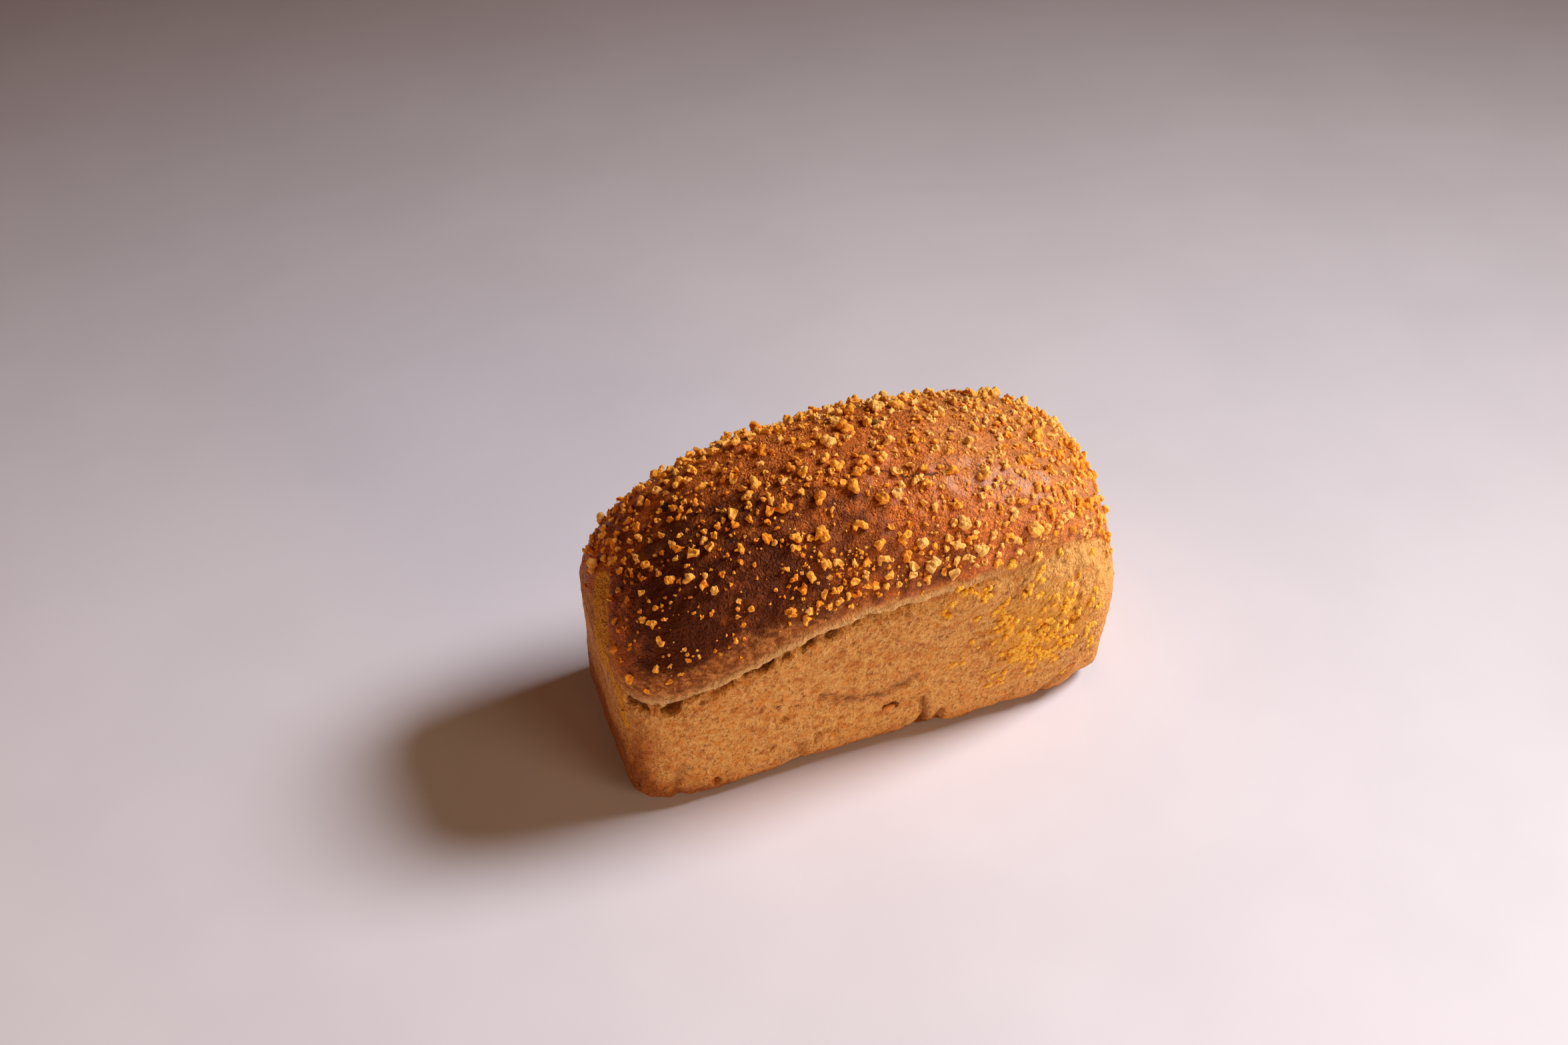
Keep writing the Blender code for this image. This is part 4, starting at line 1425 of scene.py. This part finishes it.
@dataclass
class CornCrumbs:
    """All the corn crumb on the loaf, from the largest chunks to the fines."""

    skin: Skin
    strewer: Strewer
    landmarks: tuple = (
        ((3, -7, 115), 5.5), ((-29, -16, 111), 6.2), ((-9, -2, 115), 4.6), ((-4, -17, 113), 5.0),
        ((18, -19, 112), 5.6), ((21, -21, 111), 5.0), ((-7, -28, 107), 5.2), ((4, -23, 111), 4.8),
        ((31, -18, 111), 4.6), ((26, 19, 111), 6.2), ((39, -37, 95), 4.3), ((43, -32, 101), 4.2),
        ((29, -34, 101), 5.0), ((13, -36, 100), 4.6), ((-2, -37, 98), 4.6), ((-38, -5, 110), 4.8),
        ((-64, -22, 96), 4.6), ((-21, -1, 114), 4.5), ((51, -17, 106), 5.6), ((42, -5, 110), 5.2),
        ((9, 21, 112), 4.8), ((-17, -17, 112), 5.0), ((47, -39, 91), 4.0), ((55, -41, 82), 4.0),
        ((92, -31, 70), 3.8), ((92, -33, 64), 3.4), ((90, -34, 76), 3.4), ((94, -18, 72), 3.6),
        ((88, -35, 82), 3.4), ((84, -36, 79), 3.6), ((79, -37, 83), 3.4), ((73, -39, 86), 3.6),
    )
    large: tuple = (150, 6.0 * MM, 4.1 * MM)
    middle: tuple = (560, 4.1 * MM, 2.4 * MM)
    small: tuple = (700, 2.7 * MM, 1.4 * MM)
    fine: tuple = (1000, 1.3 * MM, 0.5 * MM)
    falling: float = 1.7
    turn_step: float = 2.4
    sink: float = -0.17
    rise: float = 0.09
    tilt: float = 0.5
    shape_count: int = 10

    def sizes(self, spec: tuple) -> np.ndarray:
        """Sizes from the largest to the smallest, most of them near the smallest.

        Args:
            spec: How many, the largest and the smallest, in metres.

        Returns:
            The sizes.
        """
        count, most, least = spec
        return least + (most - least) * (1 - np.linspace(0, 1, count)) ** self.falling

    def marked(self) -> Cloud:
        """Finds the skin's points for the crumbs that have places of their own.

        Returns:
            The cloud of those crumbs.
        """
        near = [self.skin.index_near(place) for place, _ in self.landmarks]
        sizes = np.array([size * MM for _, size in self.landmarks])
        spins = np.arange(len(near)) * self.turn_step
        return Cloud(self.skin.points[near], self.skin.normals[near], sizes, spins)

    def clouds(self) -> dict[str, Cloud]:
        """Chooses places for the crumbs, the largest first.

        Returns:
            The clouds, by the name of their piece.
        """
        sower = Sower(self.skin, seed=51)
        density, fines = sower.crown_density(), sower.edge_density()
        marked = self.marked()
        taken = [(marked.places, marked.sizes)]
        x, y = self.skin.points[:, 0] / MM, self.skin.points[:, 1] / MM
        flank = ease(-x, 15, 50) * ease(-y, 12, 28)
        left = ease(-x, 25, 60)
        large = sower.sow(density * (1 - flank) * (1 - 0.75 * left), self.sizes(self.large), taken)
        middle = sower.sow(density * (1 - 0.7 * flank), self.sizes(self.middle), taken)
        small = sower.sow(density * (0.6 - 0.1 * flank) + fines * 0.6, self.sizes(self.small), taken)
        fine = sower.sow(fines, self.sizes(self.fine), taken)
        return {
            "crumbs_large": marked.joined(large),
            "crumbs_middle": middle,
            "crumbs_small": small,
            "crumbs_fine": fine,
        }

    def build(self) -> list[bpy.types.Object]:
        """Strews the crown, and bakes the larger crumbs into the crust.

        Returns:
            One piece for each range of sizes.
        """
        clouds = self.clouds()
        held = clouds["crumbs_large"].joined(clouds["crumbs_middle"])
        self.skin.cling(held.places, held.sizes, self.rise)
        details = {"crumbs_large": 3, "crumbs_middle": 2, "crumbs_small": 2, "crumbs_fine": 1}
        made = []
        for n, (name, cloud) in enumerate(clouds.items()):
            cloud.sink = self.sink
            kit = CrumbShapes(name + "_shape", self.shape_count, details[name], seed=61 + n)
            made.append(self.strewer.strew(name, cloud, kit, CornFinish(name), 71 + n, self.tilt))
            LOG.info("%s: %d crumbs", name, len(cloud.places))
        return made


@dataclass
class PressedCorn:
    """Corn that was pressed into the front wall near its right end, by the tin's side."""

    skin: Skin
    strewer: Strewer
    lumps: tuple = (
        ((27, 77), 4.6), ((34, 74), 4.6), ((29, 80), 2.6), ((20, 69), 4.0), ((33, 61), 3.0),
        ((41, 62), 5.4), ((44, 55), 4.6), ((62, 49), 3.6), ((60, 45), 5.0), ((64, 40), 4.6),
        ((54, 42), 5.4), ((45, 49), 2.6), ((71, 42), 4.0), ((70, 55), 4.6), ((83, 45), 3.0),
        ((80, 36), 4.6), ((71, 34), 5.0), ((78, 32), 2.6), ((82, 24), 3.0), ((50, 37), 5.4),
        ((64, 30), 5.8), ((55, 30), 3.0), ((67, 24), 3.0), ((56, 75), 4.2), ((52, 70), 4.2),
        ((22, 73), 2.6), ((24, 81), 2.6), ((74, 47), 3.0), ((57, 38), 3.6), ((50, 46), 2.6),
        ((60, 32), 3.0), ((45, 84), 4.0), ((55, 82), 3.6),
    )
    lean: float = 30
    grain_sizes: tuple = (1.5, 2.7)
    slot_depth: float = 0.13

    def build(self) -> list[bpy.types.Object]:
        """Makes the lumps, each one set in a shallow slot that slants up to the right.

        Returns:
            The one piece that holds them all.
        """
        draw = np.random.default_rng(5)
        lumps = np.array([(*place, size) for place, size in self.lumps])
        strays = draw.normal((57, 45, 2.2), (13, 14, 0.5), (90, 3))
        x, z, _ = strays.T
        strays = strays[(x > 16) & (x < 86) & (z > 14) & (z < 82)]
        lumps = np.concatenate([lumps, strays])
        slots, _ = self.on_wall(lumps[:, :2])
        self.sink_slots(slots, lumps[:, 2] * MM)
        turn = math.radians(self.lean)
        grains = []
        for x, z, size in lumps:
            count = max(1, round((size / 1.35) ** 2))
            along, up = draw.normal(0, 0.3 * size, count), draw.normal(0, 0.22 * size, count)
            far_x = x + along * math.cos(turn) - up * math.sin(turn)
            far_z = z + along * math.sin(turn) + up * math.cos(turn)
            grains.append(np.column_stack([far_x, far_z, draw.uniform(*self.grain_sizes, count)]))
        grains = np.concatenate(grains)
        places, normals = self.on_wall(grains[:, :2])
        spins = math.pi / 2 - turn + draw.normal(0, 0.5, len(grains))
        cloud = Cloud(places, normals, grains[:, 2] * MM, spins, sink=-0.08, stretch=(1.0, 0.95, 0.85))
        kit = CrumbShapes("pressed_shape", 8, 2, 91, (3, 5), 0.14, (0.24, 0.36), 0.08)
        finish = CornFinish("pressed_corn", (1.0, 0.57, 0.09), (1.0, 0.5, 0.045), (0.92, 0.38, 0.018))
        return [self.strewer.strew("pressed_corn", cloud, kit, finish, 83, 0.15)]

    def on_wall(self, spots: np.ndarray) -> tuple[np.ndarray, np.ndarray]:
        """Finds spots on the front wall.

        Args:
            spots: Places in the wall's plane, X and Z in millimetres.

        Returns:
            The places in metres, and their normals.
        """
        wall = np.flatnonzero(self.skin.normals[:, 1] < -0.5)
        tree = KDTree(len(wall))
        for n, (x, _, z) in enumerate(self.skin.points[wall]):
            tree.insert((x, 0, z), n)
        tree.balance()
        found = wall[[tree.find((x * MM, 0, z * MM))[1] for x, z in spots]]
        places, normals = self.skin.points[found].copy(), self.skin.normals[found].copy()
        places[:, [0, 2]] = spots * MM
        return places, normals

    def sink_slots(self, places: np.ndarray, sizes: np.ndarray) -> None:
        """Presses a slanting slot into the skin under each lump.

        Args:
            places: The lumps' places, in metres.
            sizes: Their sizes in metres.
        """
        points = self.skin.points
        heights = np.zeros(len(points))
        turn = math.radians(self.lean)
        for place, size in zip(places, sizes):
            away = points - place
            along = away[:, 0] * math.cos(turn) + away[:, 2] * math.sin(turn)
            up = away[:, 2] * math.cos(turn) - away[:, 0] * math.sin(turn)
            gap = (along / (0.62 * size)) ** 2 + (up / (0.42 * size)) ** 2 + (away[:, 1] / (2 * size)) ** 2
            heights = np.minimum(heights, -self.slot_depth * size * np.exp(-(gap**2)))
        self.skin.push(heights)


@dataclass
class Kernels:
    """The kernel in the front wall's dimple and the dark seed on the crown."""

    skin: Skin

    def pebble(
        self, name: str, place: Vector, half_sizes: tuple, turn: Euler, finish: SeedFinish
    ) -> bpy.types.Object:
        """A smooth seed.

        Args:
            name: The piece's name.
            place: Its middle in metres.
            half_sizes: Half its length, width and thickness in millimetres.
            turn: Its turn.
            finish: What it is dressed in.

        Returns:
            The piece, at the origin.
        """
        mesh = bmesh.new()
        bmesh.ops.create_icosphere(mesh, subdivisions=4, radius=1)
        for vertex in mesh.verts:
            point = vertex.co.copy()
            point.z *= 1 - 0.3 * point.x
            point.y *= 1 - 0.25 * point.x
            point *= 1 + 0.05 * noise.noise(point * 1.7)
            vertex.co = point
        stretch = Matrix.Diagonal([size * MM for size in half_sizes]).to_4x4()
        mesh.transform(Matrix.Translation(place) @ turn.to_matrix().to_4x4() @ stretch)
        data = bpy.data.meshes.new(name)
        mesh.to_mesh(data)
        mesh.free()
        data.shade_smooth()
        data.materials.append(finish.material())
        return in_scene(bpy.data.objects.new(name, data))

    def build(self) -> list[bpy.types.Object]:
        """Makes the kernel and the seed.

        Returns:
            The two pieces.
        """
        dimple = Vector(self.skin.nearest((3.6, -39, 23)))
        kernel = self.pebble(
            "pressed_kernel",
            dimple + Vector((-0.6, -1.0, -0.5)) * MM,
            (2.5, 1.2, 1.5),
            Euler((0, math.radians(-8), 0)),
            SeedFinish("kernel_tan", (0.72, 0.29, 0.08), (0.6, 0.2, 0.04)),
        )
        top = Vector(self.skin.nearest((13.6, 11, 114)))
        seed = self.pebble(
            "dark_seed",
            top + Vector((0, 0, 0.4)) * MM,
            (2.3, 1.1, 0.9),
            Euler((0.1, 0.1, math.radians(-28))),
            SeedFinish("seed_brown", (0.2, 0.11, 0.03), (0.1, 0.05, 0.015)),
        )
        return [kernel, seed]


@dataclass(frozen=True)
class Lamp:
    """One soft light: where it stands, seen from the loaf, and how it shines."""

    name: str
    turn: float
    height: float
    away: float
    size: float
    power: float
    colour: tuple
    aim: tuple = (0.0, 0.0, 0.05)
    cone: float = 0.0

    def build(self) -> None:
        """Makes the light: an area light, or a soft spot where a cone is given."""
        turn, height = math.radians(self.turn), math.radians(self.height)
        flat = math.cos(height)
        way = Vector((math.cos(turn) * flat, math.sin(turn) * flat, math.sin(height)))
        light = bpy.data.lights.new(self.name, "SPOT" if self.cone else "AREA")
        if self.cone:
            light.shadow_soft_size = self.size / 2
            light.spot_size = math.radians(self.cone)
            light.spot_blend = 1.0
        else:
            light.shape = "DISK"
            light.size = self.size
        light.energy = self.power
        light.color = self.colour
        lamp = in_scene(bpy.data.objects.new(self.name, light))
        lamp.location = way * self.away
        aim = Vector(self.aim) - lamp.location
        lamp.rotation_euler = aim.to_track_quat("-Z", "Y").to_euler()


@dataclass
class Studio:
    """A plain pale floor, soft light from the right end, and the camera."""

    floor_colour: tuple = (0.78, 0.785, 0.87)
    lamps: tuple = (
        Lamp("key_light", -1, 42, 2.0, 0.7, 208, (1.0, 0.95, 0.95), (-0.15, -0.24, 0.0), 46),
        Lamp("front_fill", -60, 11, 1.3, 0.8, 9.0, (1.0, 0.72, 0.44)),
        Lamp("left_fill", -160, 14, 1.1, 0.5, 2.1, (1.0, 0.56, 0.3)),
    )
    sky_colour: tuple = (1.0, 0.3, 0.12)
    sky_power: float = 0.05
    eye: tuple = (-0.2050, -0.5020, 0.6123)
    yaw: float = 19.94
    pitch: float = 44.5
    lens: float = 50.0
    sensor: float = 36.0

    def build(self) -> None:
        """Makes the floor, the lights and the camera."""
        self.floor()
        for lamp in self.lamps:
            lamp.build()
        self.sky()
        self.camera()

    def floor(self) -> None:
        """A wide pale floor at the height of the loaf's base."""
        mesh = bmesh.new()
        bmesh.ops.create_grid(mesh, x_segments=1, y_segments=1, size=6)
        data = bpy.data.meshes.new("floor")
        mesh.to_mesh(data)
        mesh.free()
        floor = in_scene(bpy.data.objects.new("floor", data))
        tree = ShaderTree("pale_floor")
        cloudy = tree.grain(0.012, 3)
        lighter = tuple(min(1.0, 1.04 * channel) for channel in self.floor_colour)
        colour = tree.mix(cloudy.ease(0.35, 0.65), self.floor_colour, lighter)
        data.materials.append(tree.dress(base_color=colour, roughness=0.62))

    def sky(self) -> None:
        """A weak warm light from all round, and plain colours in the render."""
        world = bpy.data.worlds.new("studio")
        world.use_nodes = True
        sky = world.node_tree.nodes["Background"]
        sky.inputs["Color"].default_value = (*self.sky_colour, 1)
        sky.inputs["Strength"].default_value = self.sky_power
        bpy.context.scene.world = world
        bpy.context.scene.view_settings.view_transform = "Standard"

    def camera(self) -> None:
        """The camera, level from side to side, looking down on the loaf."""
        data = bpy.data.cameras.new("camera")
        data.lens = self.lens
        data.sensor_width = self.sensor
        camera = in_scene(bpy.data.objects.new("camera", data))
        camera.location = self.eye
        camera.rotation_euler = (math.radians(90 - self.pitch), 0, math.radians(-self.yaw))
        bpy.context.scene.camera = camera


def keep_inside(piece: bpy.types.Object, low: Vector, high: Vector, margin: float = 0.05 * MM) -> None:
    """Moves the few points of a piece that stick out of a box back into it.

    Args:
        piece: The piece.
        low: The box's lowest corner.
        high: Its highest corner.
        margin: How far inside the box they are set.
    """
    data = piece.data
    points = np.empty(3 * len(data.vertices), np.float32)
    data.vertices.foreach_get("co", points)
    least = np.array(low) + np.array([margin, margin, 0])
    points = np.clip(points.reshape(-1, 3), least, np.array(high) - margin)
    data.vertices.foreach_set("co", points.astype(np.float32).ravel())
    data.update()


def main() -> None:
    """Builds the loaf, its crumbs and its light, and logs the crumb counts and the skin's faces."""
    logging.basicConfig(level=logging.INFO, format="%(name)s: %(message)s")
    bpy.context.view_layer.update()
    skin, strewer = Skin(LoafForm()), Strewer()
    pieces = CornCrumbs(skin, strewer).build() + PressedCorn(skin, strewer).build()
    pieces += Kernels(skin).build()
    loaf = skin.piece("loaf_skin", CrustFinish())
    LOG.info("loaf_skin: %d faces", len(loaf.data.polygons))
    pieces.append(loaf)
    low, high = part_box(NODE)
    for piece in pieces:
        keep_inside(piece, low, high)
        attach(piece, BODY)
        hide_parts(NODE)
    Studio().build()


if __name__ == "__main__":
    main()
